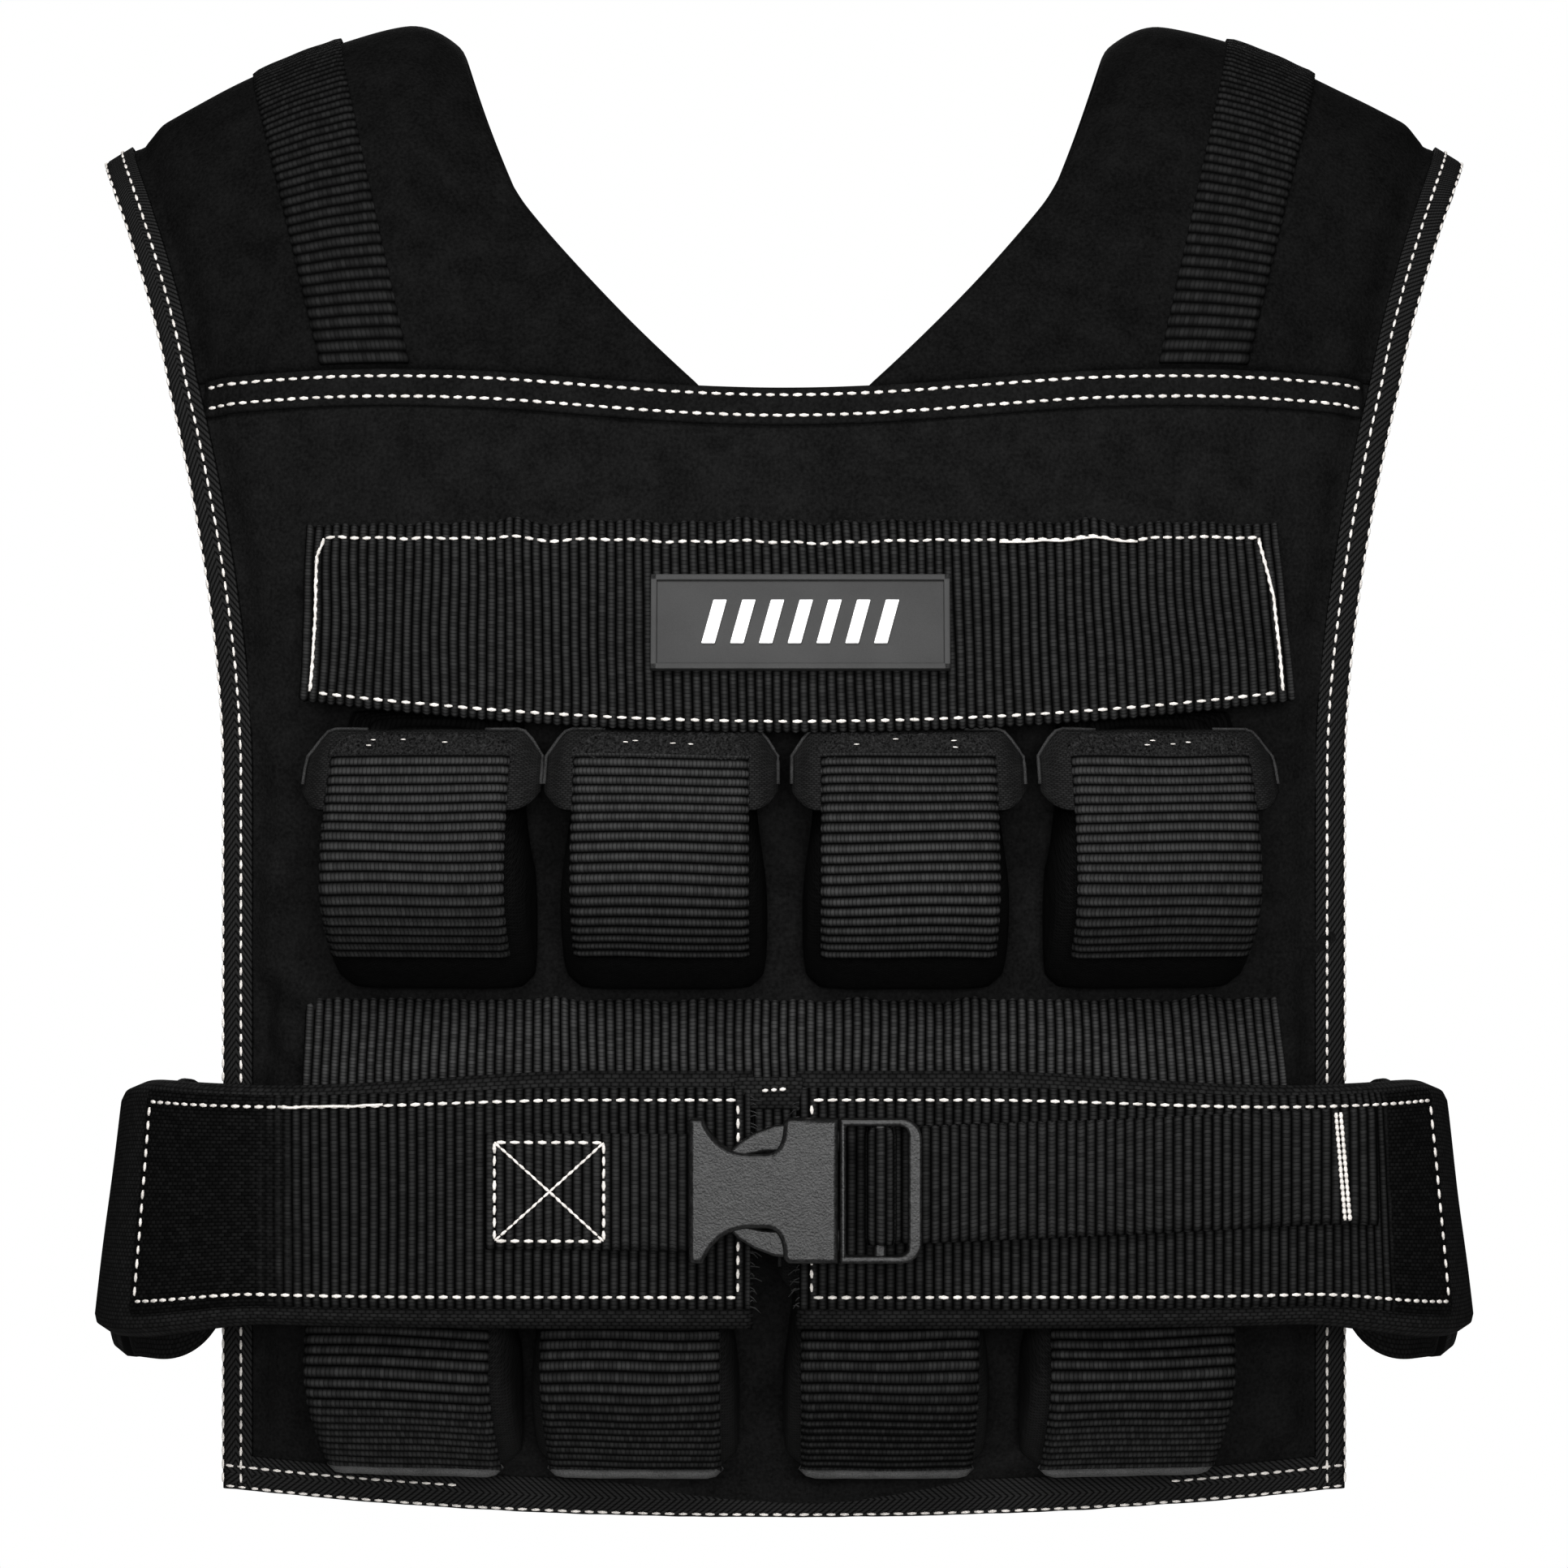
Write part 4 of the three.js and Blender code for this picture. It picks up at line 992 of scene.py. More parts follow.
# %% Bindings of the hems
for face, name in FACES:
    half = WAIST_HALF - BINDING_INSET

    def frame_at(x, face=face):
        return hem_frame(face, x)

    def place(u, v, frame_at=frame_at, half=half):
        edge, out, off = frame_at(lerp(-half, half, u))
        section = fold_section(v)
        return edge + out * section[0] + off * section[1]

    def stand(u, v):
        return 0.2 * wobble(u * 370, v * 9, 9, 8.0)

    mesh = laid_grid(place, 150, 20, (2 * half, TAPE_LENGTH), stand)
    mesh.faces.ensure_lookup_table()
    if mesh.faces[0].normal.dot(Vector((0, face, 0))) < 0:      # the tape's outer face has to point out
        bmesh.ops.reverse_faces(mesh, faces=mesh.faces)
        mesh.normal_update()
    binding = finish_piece(mesh, name + "_hem_tape", binding_cloth,
                           [name + "_hem_binding"], wall=1.0)
    for inset in STITCH_INSETS:
        broken = face == FRONT and inset == STITCH_INSETS[1]
        parts = [(-half, HEM_ROW_GAP[0]), (HEM_ROW_GAP[1], half)] if broken else [(-half, half)]
        for first, last in parts:
            path = binding_path(frame_at, np.linspace(first, last, 300), inset)
            sew_row(binding_stitches, path, width=BINDING_STITCH)
finish_piece(binding_stitches, "binding_stitches", white_thread)

# %% [markdown]
# ## Yoke seams
#
# Under the shoulders a flat tape covers the seam of each panel, held by two rows of stitches that
# follow the wavy seam line. Each row presses a shallow furrow into the tape, which is part of its relief.

# %% Yoke tapes
TAPE_WIDTH, TAPE_WALL = 12.5, 1.2
YOKE_ROWS = (2.6, 9.4)         # stitch rows below the seam
YOKE_FURROW, FURROW_WIDTH = 0.35, 1.1
yoke_stitches = bmesh.new()
for face, name in FACES:
    tape_half = half_width_at(YOKE_Z) - BINDING_WIDTH - 0.8

    def place(u, v, face=face):
        x = lerp(-tape_half, tape_half, u) * -face
        return trunk(x, lerp(yoke_at(x) - TAPE_WIDTH, yoke_at(x) - SEAT_GAP / 2, v), face)

    def stand(u, v, face=face, place=place):
        at = place(u, v)
        level = panel_thick(at.x, at.z) + SEAT_GAP + TAPE_WALL + 0.15 * wobble(at.x, at.z, 12, 4)
        below = (1 - v) * TAPE_WIDTH
        furrows = sum(YOKE_FURROW * math.exp(-((below - row) / FURROW_WIDTH) ** 2) for row in YOKE_ROWS)
        return level - furrows - edge_drop(v, TAPE_WIDTH, 0.5, 1.2)

    size = (2 * tape_half, TAPE_WIDTH)
    mesh = laid_grid(place, 160, 14, size, stand)
    tape = finish_piece(mesh, name + "_yoke_cloth", brushed_fabric,
                        [name + "_yoke_tape"], wall=1.0)
    for row in YOKE_ROWS:
        level = TAPE_WIDTH - row
        sew_row(yoke_stitches, path_on(place, stand, [(1, level), (size[0] - 1, level)], size))
finish_piece(yoke_stitches, "yoke_stitches", white_thread)

# %% [markdown]
# ## Webbing over the shoulders
#
# A narrower webbing lies over each shoulder and leans out towards the top. Its ribs run across it, close
# together, and its edges are scalloped where each rib turns back.

# %% Shoulder webbing
STRAP_WIDTH, STRAP_WALL = 30, 1.6
STRAP_FOOT_X, STRAP_TOP_X = 139, 167.5
SHOULDER_RIB, SHOULDER_RIB_HEIGHT = 2.6, 0.4
SHOULDER_STRAP_LENGTH = 236

for side, name in SIDES:
    def place(u, v, side=side):
        route = 1 + lerp(0.004, 0.996, v)
        climb = math.sin(math.pi * (route - 1))
        middle = side * lerp(STRAP_FOOT_X, STRAP_TOP_X, climb)
        half = STRAP_WIDTH / 2 - scallop(v * SHOULDER_STRAP_LENGTH, SHOULDER_RIB, 0.5)
        return over_shoulder(middle + (2 * u - 1) * half, route)

    def stand(u, v):
        level = PAD_THICK + SEAT_GAP + STRAP_WALL - SHOULDER_RIB_HEIGHT + 0.5 * wobble(u * 3, v * 9, 1, 7)
        ribs = rib(v * SHOULDER_STRAP_LENGTH, SHOULDER_RIB, SHOULDER_RIB_HEIGHT)
        return level + ribs - edge_drop(u, STRAP_WIDTH, 0.5, 1.5)

    rows = round(SHOULDER_STRAP_LENGTH / SHOULDER_RIB) * RIB_STEPS
    mesh = laid_grid(place, 14, rows, (STRAP_WIDTH, SHOULDER_STRAP_LENGTH), stand, swap=True)
    strap = finish_piece(mesh, name + "_shoulder_webbing", shoulder_webbing,
                         [name + "_shoulder_strap"], wall=1.2)

# %% [markdown]
# ## Flaps
#
# A wide webbing is sewn on above each row of pouches and hangs out over them. Its ribs run up and down.
# The top edge is slightly ruffled, where the stitching gathers it, and the bottom edge bows down in the
# middle.

# %% Flaps
FLAP_HEIGHT, FLAP_WALL, FLAP_LIFT = 70, 2, 18
FLAP_LEFT, FLAP_RIGHT = (-154, -158), (162, 163)     # foot and top, before it is lifted off the chest
UPPER_FLAP_Z, LOWER_FLAP_Z = HEM_Z + 331.4, HEM_Z + 172.9
FLAP_RIB, FLAP_RIB_HEIGHT = 3.1, 0.75
FLAP_BOW = 11.0
FLAP_WIDTH = 331
RIB_SEAT = 0.45                # how much a ribbed webbing is thinner between its ribs
STITCH_SEAT = 0.6              # height at which stitches lie on the ribs of a wide webbing


def flap_place(top_z, seed):
    def place(u, v):
        x = lerp(lerp(FLAP_LEFT[0], FLAP_LEFT[1], v), lerp(FLAP_RIGHT[0], FLAP_RIGHT[1], v), u)
        ruffle = 2.4 * wobble(u * FLAP_WIDTH, 0, 13, seed) * smooth((v - 0.8) / 0.2)
        bow = FLAP_BOW * (2 * u - 1) ** 2 * (1 - v)
        ends = scallop(u * FLAP_WIDTH, FLAP_RIB, 0.9)
        bow += ends * smooth((0.06 - v) / 0.05) - ends * smooth((v - 0.94) / 0.05)
        sway = 0.8 * wobble(u * FLAP_WIDTH, v * FLAP_HEIGHT, 30, seed + 3)
        return trunk(x + sway, lerp(top_z - FLAP_HEIGHT, top_z, v) + bow + ruffle, FRONT)
    return place


def flap_stand(seed, ribs=True):
    def stand(u, v):
        level = PAD_THICK + SEAT_GAP + FLAP_LIFT * (1 - v) + FLAP_WALL - RIB_SEAT
        ruffle = 0.9 * wobble(u * FLAP_WIDTH, 5, 11, seed + 6) * smooth((v - 0.85) / 0.15)
        slack = 1.4 * wobble(u * FLAP_WIDTH, v * FLAP_HEIGHT, 60, seed + 9)
        top = rib(u * FLAP_WIDTH, FLAP_RIB, FLAP_RIB_HEIGHT) if ribs else STITCH_SEAT
        return level + ruffle + slack + top
    return stand


print("a flap has", round(FLAP_WIDTH / FLAP_RIB), "ribs")

# %% [markdown]
# The upper flap is sewn on with one row along its top and hemmed with one along its foot. Its ends are
# sewn twice, so a loose long thread lies over the stitches there. Of the lower flap's seams nothing shows:
# they lie behind the pouches and the belt.

# %% Flaps and their stitches
FLAP_TOP_ROW = [(7, 64.5), (165, 62.5), (324, 64.5)]
FLAP_FOOT_ROW = [(6, 3.6), (165, 3.6), (325, 3.6)]
FLAP_END_ROWS = [[(7, 64), (4.8, 57), (3.8, 4)], [(324, 64), (327, 40), (327, 4)]]
FLAP_LOOSE_THREAD = [(236, 62.6), (262, 63.4), (282, 63.6)]
THREAD_SPACING = 3.0
flap_stitches = bmesh.new()
loose_threads = []             # long threads that lie over the stitches where the seam was sewn twice
for name, top_z, seed in [("upper", UPPER_FLAP_Z, 1.0), ("lower", LOWER_FLAP_Z, 21.0)]:
    place = flap_place(top_z, seed)
    size = (FLAP_WIDTH, FLAP_HEIGHT)
    columns = round(FLAP_WIDTH / FLAP_RIB) * RIB_STEPS
    mesh = laid_grid(place, columns, 26, size, flap_stand(seed))
    # The lower flap's lighter webbing is painted light against the shade of the pouches.
    cloth = webbing_cloth if name == "upper" else painted_light_webbing
    flap = finish_piece(mesh, name + "_flap_webbing", cloth, [name + "_flap"], wall=1.5)
    lay = (place, flap_stand(seed, False))
    if name == "lower":
        continue
    sew_row(flap_stitches, path_on(*lay, FLAP_TOP_ROW, size), pitch=4.3)
    sew_row(flap_stitches, path_on(*lay, FLAP_FOOT_ROW, size), pitch=4.8)
    for corners in FLAP_END_ROWS:
        sew_row(flap_stitches, path_on(*lay, corners, size), pitch=3.3, width=1.5)
        loose_threads.append(path_on(*lay, corners, size, THREAD_SPACING))
    loose_threads.append(path_on(*lay, FLAP_LOOSE_THREAD, size, THREAD_SPACING))
finish_piece(flap_stitches, "flap_stitches", white_thread)

# %% [markdown]
# ## Label patch
#
# A soft rubber patch is glued on the upper flap: a plate with a raised rim and plain slanted bars. All of
# them are boxes with bevelled edges. They are drawn flat round the origin and then moved as one to the
# slant of the flap, so that no piece has to be turned by itself.

# %% Label patch
PATCH_WIDTH, PATCH_HEIGHT, PATCH_WALL = 99, 32.6, 2.2
PATCH_RIM, PATCH_RELIEF, PATCH_X, PATCH_DOWN = 2.1, 0.8, 5.4, 34
BAR_COUNT, BAR_WIDTH, BAR_HEIGHT, BAR_PITCH, BAR_SLANT = 7, 4.5, 15, 9.5, 4
RAISED = PATCH_RELIEF + 0.6    # depth of a raised piece, which starts inside the plate


def block(mesh, size, place, bevel, slant=0.0):
    """Box with rounded edges, centred on place. slant leans its top to the right."""
    made = bmesh.ops.create_cube(mesh, size=1)["verts"]
    bmesh.ops.scale(mesh, vec=size, verts=made)
    for vert in made:
        vert.co.x += slant * vert.co.z / size[2]
    bmesh.ops.translate(mesh, vec=place, verts=made)
    edges = list({edge for vert in made for edge in vert.link_edges})
    bmesh.ops.bevel(mesh, geom=edges, offset=bevel, affect="EDGES", segments=3, profile=0.5, material=-1)


def lay_on_flap(mesh):
    """Moves a shape from a flat drawing to its place on the slanted flap."""
    lean = math.atan2(FLAP_LIFT, FLAP_HEIGHT)
    v = 1 - PATCH_DOWN / FLAP_HEIGHT
    at = trunk(PATCH_X, UPPER_FLAP_Z - PATCH_DOWN, FRONT)
    out = PAD_THICK + SEAT_GAP + FLAP_LIFT * (1 - v) + FLAP_WALL + SEAT_GAP
    place = Matrix.Translation((PATCH_X, at.y - out, at.z)) @ Matrix.Rotation(-lean, 4, "X")
    bmesh.ops.transform(mesh, matrix=place, verts=mesh.verts)


patch = bmesh.new()
block(patch, (PATCH_WIDTH, PATCH_WALL, PATCH_HEIGHT), (0, -PATCH_WALL / 2, 0), 0.5)
rim_y = -PATCH_WALL - PATCH_RELIEF / 2 + 0.1
for side in (LEFT, RIGHT):
    upright, level = side * (PATCH_WIDTH - PATCH_RIM) / 2, side * (PATCH_HEIGHT - PATCH_RIM) / 2
    block(patch, (PATCH_RIM, RAISED, PATCH_HEIGHT), (upright, rim_y, 0), 0.35)
    block(patch, (PATCH_WIDTH, RAISED, PATCH_RIM), (0, rim_y, level), 0.35)
lay_on_flap(patch)
finish_piece(patch, "rubber_patch", rubber, ["label_patch"])

bars = bmesh.new()
for i in range(BAR_COUNT):
    middle = (i - (BAR_COUNT - 1) / 2) * BAR_PITCH
    block(bars, (BAR_WIDTH, RAISED, BAR_HEIGHT), (middle, rim_y, 0), 0.3, BAR_SLANT)
lay_on_flap(bars)
finish_piece(bars, "patch_bars", white_rubber)

# %% [markdown]
# ## Pouches
#
# A filled pouch is a soft box: its front leans out towards the bottom, where the weight lies, and turns
# under. It starts as a cube that is cut finely and drawn to the pouch's profile. The cloth simulation
# then blows it up a little, which rounds its sides as the filling does.

# %% Sizes and profile of a pouch
POUCH_WIDTH, POUCH_HEIGHT, POUCH_DEPTH, POUCH_SEAT = 64, 93, 35, 0.6
MOUTH_DROP = 62.5              # how far a pouch's mouth lies below the top of its flap
# How far out the front is at each share of the height down
PROFILE_DOWN = [0.00, 0.04, 0.17, 0.42, 0.59, 0.67, 0.75, 0.85, 0.94, 1.00]
PROFILE_OUT = [0.18, 0.30, 0.64, 0.92, 1.00, 0.98, 0.88, 0.66, 0.42, 0.20]


def profile_points():
    """Smooth profile of the pouch's front, as (down, out) in mm."""
    known = [Vector((down * POUCH_HEIGHT, out * POUCH_DEPTH)) for down, out in zip(PROFILE_DOWN, PROFILE_OUT)]
    return curve_through(known[0] * 2 - known[1], known, known[-1] * 2 - known[-2], 12)


PROFILE = profile_points()
PROFILE_RUN = runs_along(PROFILE)


def run_at(down):
    """Run along the profile at a share of the pouch's height down."""
    return float(np.interp(down * POUCH_HEIGHT, PROFILE[:, 0], PROFILE_RUN))


def profile_at(run):
    """Point (down, out) and the way out of the profile at a distance along it from the mouth, in mm."""
    behind, point, ahead = (Vector([np.interp(at, PROFILE_RUN, PROFILE[:, i]) for i in (0, 1)])
                            for at in (run - 1.5, run, run + 1.5))
    slope = (ahead - behind).normalized()
    return point, Vector((-slope.y, slope.x))


def before_panel(x, z, off):
    """Point off mm in front of the padded front panel."""
    across = trunk(x + 0.5, z, FRONT) - trunk(x - 0.5, z, FRONT)
    up = trunk(x, z + 0.5, FRONT) - trunk(x, z - 0.5, FRONT)
    return trunk(x, z, FRONT) + across.cross(up).normalized() * (PAD_THICK + off)


print("profile of a pouch is", round(PROFILE_RUN[-1]), "mm long")

# %% [markdown]
# All eight pouches have one form, so it is made once. An even voxel mesh lets the cloth simulation bulge
# it without creases. The simulation is short, and what it moves is capped, because the straps that lie
# over the pouch follow the profile.

# %% One pouch, blown up by its filling
BACK_SHARE = 0.12              # how much of the depth is held flat on the panel
FORM_VOXEL = 4
FILL_PRESSURE, FILL_FRAMES = 4, 20
BLOW_LIMIT = 3.0


def pouch_blank():
    """Closed box in the pouch's own (across, out, down), drawn to its profile. In mm."""
    mesh = bmesh.new()
    bmesh.ops.create_cube(mesh, size=1)
    bmesh.ops.subdivide_edges(mesh, edges=mesh.edges, cuts=11, use_grid_fill=True)
    for vert in mesh.verts:
        share = 0.5 - vert.co.y
        down = (0.5 - vert.co.z) * POUCH_HEIGHT
        low = smooth((down / POUCH_HEIGHT - 0.3) / 0.4)
        side = abs(vert.co.x) * 2
        width = POUCH_WIDTH * lerp(0.93, 1.05, low) * (1 - 0.08 * share ** 3)
        out = float(np.interp(down, PROFILE[:, 0], PROFILE[:, 1])) * share
        out *= 1 - 0.2 * smooth((side - 0.6) / 0.4)
        corner = 5 * max(0.0, (side - 0.7) / 0.3) ** 2.5 * smooth((down / POUCH_HEIGHT - 0.85) / 0.15)
        vert.co = (vert.co.x * width, -out, -down + corner)
    bmesh.ops.scale(mesh, vec=(MM, MM, MM), verts=mesh.verts)
    return mesh


def applied(piece):
    """Mesh of a piece with its modifiers applied."""
    return bpy.data.meshes.new_from_object(piece.evaluated_get(bpy.context.evaluated_depsgraph_get()))


def blown_pouch():
    """The form of every pouch."""
    blank = pouch_blank()
    data = bpy.data.meshes.new("pouch_blank")
    blank.to_mesh(data)
    blank.free()
    piece = bpy.data.objects.new("pouch_blank", data)
    bpy.context.collection.objects.link(piece)
    voxels = piece.modifiers.new("Even", "REMESH")
    voxels.mode = "VOXEL"
    voxels.voxel_size = FORM_VOXEL * MM
    piece.data = applied(piece)
    piece.modifiers.remove(voxels)
    rest = [vert.co.copy() for vert in piece.data.vertices]
    held = piece.vertex_groups.new(name="held")
    held.add([i for i, co in enumerate(rest) if co.y > -BACK_SHARE * POUCH_DEPTH * MM], 1.0, "ADD")
    cloth = piece.modifiers.new("Cloth", "CLOTH")
    cloth.settings.vertex_group_mass = "held"
    cloth.settings.use_pressure = True
    cloth.settings.uniform_pressure_force = FILL_PRESSURE
    cloth.settings.effector_weights.gravity = 0
    cloth.point_cache.frame_start = 1
    cloth.point_cache.frame_end = FILL_FRAMES
    for frame_number in range(1, FILL_FRAMES + 1):
        bpy.context.scene.frame_set(frame_number)
    piece.data = applied(piece)
    piece.modifiers.remove(cloth)
    bpy.context.scene.frame_set(1)
    for vert, before in zip(piece.data.vertices, rest):
        moved = vert.co - before
        if moved.length > BLOW_LIMIT * MM:
            vert.co = before + moved.normalized() * BLOW_LIMIT * MM
    result = piece.data
    bpy.data.objects.remove(piece)
    return result


pouch_form = blown_pouch()
print("one pouch has", len(pouch_form.polygons), "faces")


# %% [markdown]
# A pouch is laid on the panel by its own directions: across, down and out. Its UV map is spread over the
# front in millimetres, so the fine weave keeps its size where the front leans out.

# %% Pouch bodies
BACK_SINK = 0.3                # how far a pouch's back sinks into the panel


def pouch_body(name, centre, top_z, cloth):
    mesh = bmesh.new()
    mesh.from_mesh(pouch_form)
    bmesh.ops.scale(mesh, vec=(1 / MM, 1 / MM, 1 / MM), verts=mesh.verts)
    layer = mesh.loops.layers.uv.get("UVMap") or mesh.loops.layers.uv.new("UVMap")
    for face in mesh.faces:
        for loop in face.loops:
            loop[layer].uv = (loop.vert.co.x, loop.vert.co.z - loop.vert.co.y)
    for vert in mesh.verts:
        off = POUCH_SEAT + max(-BACK_SINK, -vert.co.y)
        vert.co = before_panel(centre + vert.co.x, top_z + vert.co.z, off)
    mesh.normal_update()
    body = finish_piece(mesh, "weight_" + name, cloth, ["pouch_" + name])
    rounder = body.modifiers.new("Round", "SUBSURF")
    rounder.levels = rounder.render_levels = 1


# %% [markdown]
# Over each pouch lie the folded cover of its mouth, a strip of hook tape that shows above the strap, and
# the ribbed strap itself. All of them run down the same profile, each a little further off it, so a
# distance along the profile and a share across say where each of their points lies. A lower strap ends in
# a rolled lip under the pouch.

# %% Straps of the pouches
POUCH_STRAP_WIDTH, POUCH_STRAP_WALL, COVER_WALL = 55.5, 1.8, 1.6
POUCH_RIB, POUCH_RIB_HEIGHT = 3.2, 0.8
STRAP_START = 23.5             # distance along the profile at which a strap comes out of the hook tape
STRAP_OVER = COVER_WALL + 0.6 + POUCH_STRAP_WALL - 0.5


def over_pouch(centre, top_z, width, start, end, over):
    """Cloth over a pouch's front from one distance along its profile to another."""
    def place(u, v):
        point, out = profile_at(lerp(end, start, v))
        x = (u - 0.5) * width
        return before_panel(centre + x, top_z - point.x - out.x * over, POUCH_SEAT + point.y + out.y * over)
    return place


def pouch_strap(name, centre, top_z, seed, foot, cloth):
    """Ribbed strap down a pouch's front, to a foot that is a share of the pouch's height."""
    end = run_at(foot)
    length = end - STRAP_START
    tilt = 1.5 * wobble(seed, 3, 1, 0)
    base = over_pouch(centre, top_z, POUCH_STRAP_WIDTH, STRAP_START, end, STRAP_OVER)

    def place(u, v):
        pull = 0.8 * wobble(u * 40 + seed * 9, v * length, 25, seed)
        bowed = clamp01(v + (tilt * (u - 0.5) + pull) / length)
        edge = scallop(v * length, POUCH_RIB, 0.6) / POUCH_STRAP_WIDTH
        return base(lerp(edge, 1 - edge, u), bowed)

    def stand(u, v):
        ribs = rib(v * length + seed * 17, POUCH_RIB, POUCH_RIB_HEIGHT)
        return ribs - edge_drop(u, POUCH_STRAP_WIDTH, 0.6, 2) + 0.6 * wobble(u * 55, v * length, 30, seed)

    rows = round(length / POUCH_RIB) * RIB_STEPS
    mesh = laid_grid(place, 24, rows, (POUCH_STRAP_WIDTH, length), stand, swap=True)
    strap = finish_piece(mesh, "strap_" + name, cloth, ["pouch_strap_" + name], wall=1.3)


LIP_RADIUS, LIP_STEPS = 1.7, 24
lips = bmesh.new()


def strap_lip(centre, top_z, foot):
    """Smooth rolled end of the strap where it is sewn under the pouch. Its light grey is a painted highlight.
    """
    run = run_at(foot)
    base = over_pouch(centre, top_z, POUCH_STRAP_WIDTH - 1, run, run + 2, COVER_WALL + 2.8)
    points = []
    for i in range(LIP_STEPS + 1):
        u = i / LIP_STEPS
        turned = max(0.0, abs(2 * u - 1) - 0.86) / 0.14
        rise = 2.6 * turned ** 2 + 0.3 * wobble(u * 50, 1, 9, centre)
        points.append(base(u, 1.0) + Vector((0, 1.2 * turned, rise)))
    cord(lips, points, LIP_RADIUS, 8)


# %% Hook strips
HOOKS_START, HOOKS_END, HOOKS_WIDTH = 15.5, 25.5, 58
LOOP_HEIGHT = 1.3
strip_stitches = bmesh.new()


def hook_strip(name, centre, top_z, seed):
    """Speckled strip that shows above the strap, with a few white threads in it."""
    size = (HOOKS_WIDTH, HOOKS_END - HOOKS_START)
    base = over_pouch(centre, top_z, HOOKS_WIDTH, HOOKS_START, HOOKS_END, COVER_WALL + 1.4)

    def place(u, v):
        return base(u, v - 0.5 * max(0.0, abs(2 * u - 1) - 0.8) / 0.2 * v)

    def stand(u, v):
        x, y = u * size[0], v * size[1]
        loops = abs(wobble(x, y, 1.1, seed)) + abs(wobble(x, y, 2.3, seed + 4))
        return LOOP_HEIGHT * loops - 1.2 * smooth((abs(2 * u - 1) - 0.85) / 0.15)

    mesh = laid_grid(place, 90, 18, size, stand)
    strip = finish_piece(mesh, "hooks_" + name, fuzzy_cloth, wall=0.8)
    for _ in range(4):
        first = dice.uniform(8, 46)
        level = dice.uniform(4, 7)
        last = first + dice.uniform(2, 6)
        path = path_on(base, even(LOOP_HEIGHT), [(first, level), (last, level)], size)
        sew_row(strip_stitches, path, length=2.2, width=0.6)


# %% Covers with their piping
COVER_START, COVER_END = 12.5, 42.5
COVER_CORNER = 4.5             # how far a cover's side edges droop round the pouch
PIPED_REACH = (0.5, 0.6, 0.7, 0.78, 0.84, 0.9, 0.96, 1.0)
PIPED_DROP = (0.2, 0.4, 0.6, 0.8)
piping = bmesh.new()


def pouch_cover(name, centre, top_z, width, seed):
    """Folded mouth of a pouch, with thin piping round its upper corners."""
    base = over_pouch(centre, top_z, width, COVER_START, COVER_END, 0.8)
    size = (width, COVER_END - COVER_START)

    def place(u, v):
        side = 2 * u - 1
        corner = max(0.0, abs(side) - 0.78) / 0.22
        return base(u, lerp(v, 0.5, 0.55 * corner ** 2))

    def stand(u, v):
        droop = COVER_CORNER * smooth((abs(2 * u - 1) - 0.8) / 0.2)
        return COVER_WALL - droop + 0.4 * wobble(u * size[0], v * size[1], 12, seed)

    mesh = laid_grid(place, 40, 18, size, stand)
    cover = finish_piece(mesh, "cover_" + name, pouch_cloth,
                         ["pouch_cover_" + name], wall=1.2)
    for side in (0, 1):
        edge = [(lerp(0.5, side, reach), 1.0) for reach in PIPED_REACH]
        edge += [(side, 1 - drop) for drop in PIPED_DROP]
        points = []
        for u, v in edge:
            out = square_to(place, clamp01(u), clamp01(v))
            points.append(place(u, v) + out * (stand(u, v) + 0.1))
        cord(piping, points, 0.65)


# %% The two rows of pouches
# For each row: top of its flap, width of a cover, foot of a strap, and places across as shares of the waist
POUCH_ROWS = {
    "upper": (UPPER_FLAP_Z, 74, 0.85, [-0.603, -0.206, 0.209, 0.624]),
    "lower": (LOWER_FLAP_Z, 69, 0.97, [-0.627, -0.254, 0.175, 0.582]),
}
for row, (flap_z, cover_width, strap_foot, centres) in POUCH_ROWS.items():
    for i, share in enumerate(centres):
        name = f"{row}_{i + 1}"
        centre, top_z = share * WAIST_HALF, flap_z - MOUTH_DROP
        # The upper bodies take the near-black nylon, painted shade; the lower ones take the plain pouch
        # nylon.
        pouch_body(name, centre, top_z, shaded_pouch_nylon if row == "upper" else pouch_cloth)
        pouch_cover(name, centre, top_z, cover_width, i + 2.0)
        if row == "upper":
            pouch_strap(name, centre, top_z, i + 0.3, strap_foot, pouch_webbing)
            hook_strip(name, centre, top_z, i + 30.0)
        else:
            # The lower straps' darker webbing is painted shade from the belt.
            pouch_strap(name, centre, top_z, i + 5.3, strap_foot, shaded_strap_webbing)
            strap_lip(centre, top_z, strap_foot)
finish_cords(piping, "cover_piping", piping_cloth)
finish_cords(lips, "strap_lips", lip_highlight_cloth)
finish_piece(strip_stitches, "hook_stitches", white_thread)

# %% [markdown]
# ## Belt
#
# The belt is a padded band that runs round the waist, squarer than an oval seen from above. Its sides
# lean out towards the bottom and hang lower than the front. On each half lies a wide webbing, whose ribs
# fade out towards the side seams, inside an outline of stitches.

# %% Route of the belt
BELT_HALF = WAIST_HALF + 41
BELT_FRONT, BELT_BACK, BELT_SQUARE = CHEST_DEPTH + PAD_THICK + 40, CHEST_DEPTH + PAD_THICK + 0.6, 3.4
BELT_THICK = 8
BELT_TOP = HEM_Z + 150.9
BELT_HEIGHT = 84
BELT_FOOT = BELT_TOP - BELT_HEIGHT
BELT_LEAN, BELT_SAG, TOP_SAG = 10, 9, 15
BELT_CORNER = 0.72             # share of the half width at which the belt starts to turn to the side
PAD_DIP, WEB_DIP = 5.5, 3.5    # how much lower the top edge lies at the sides than at the buckle
ROUTE_STEPS = 240              # steps of a quarter of the route


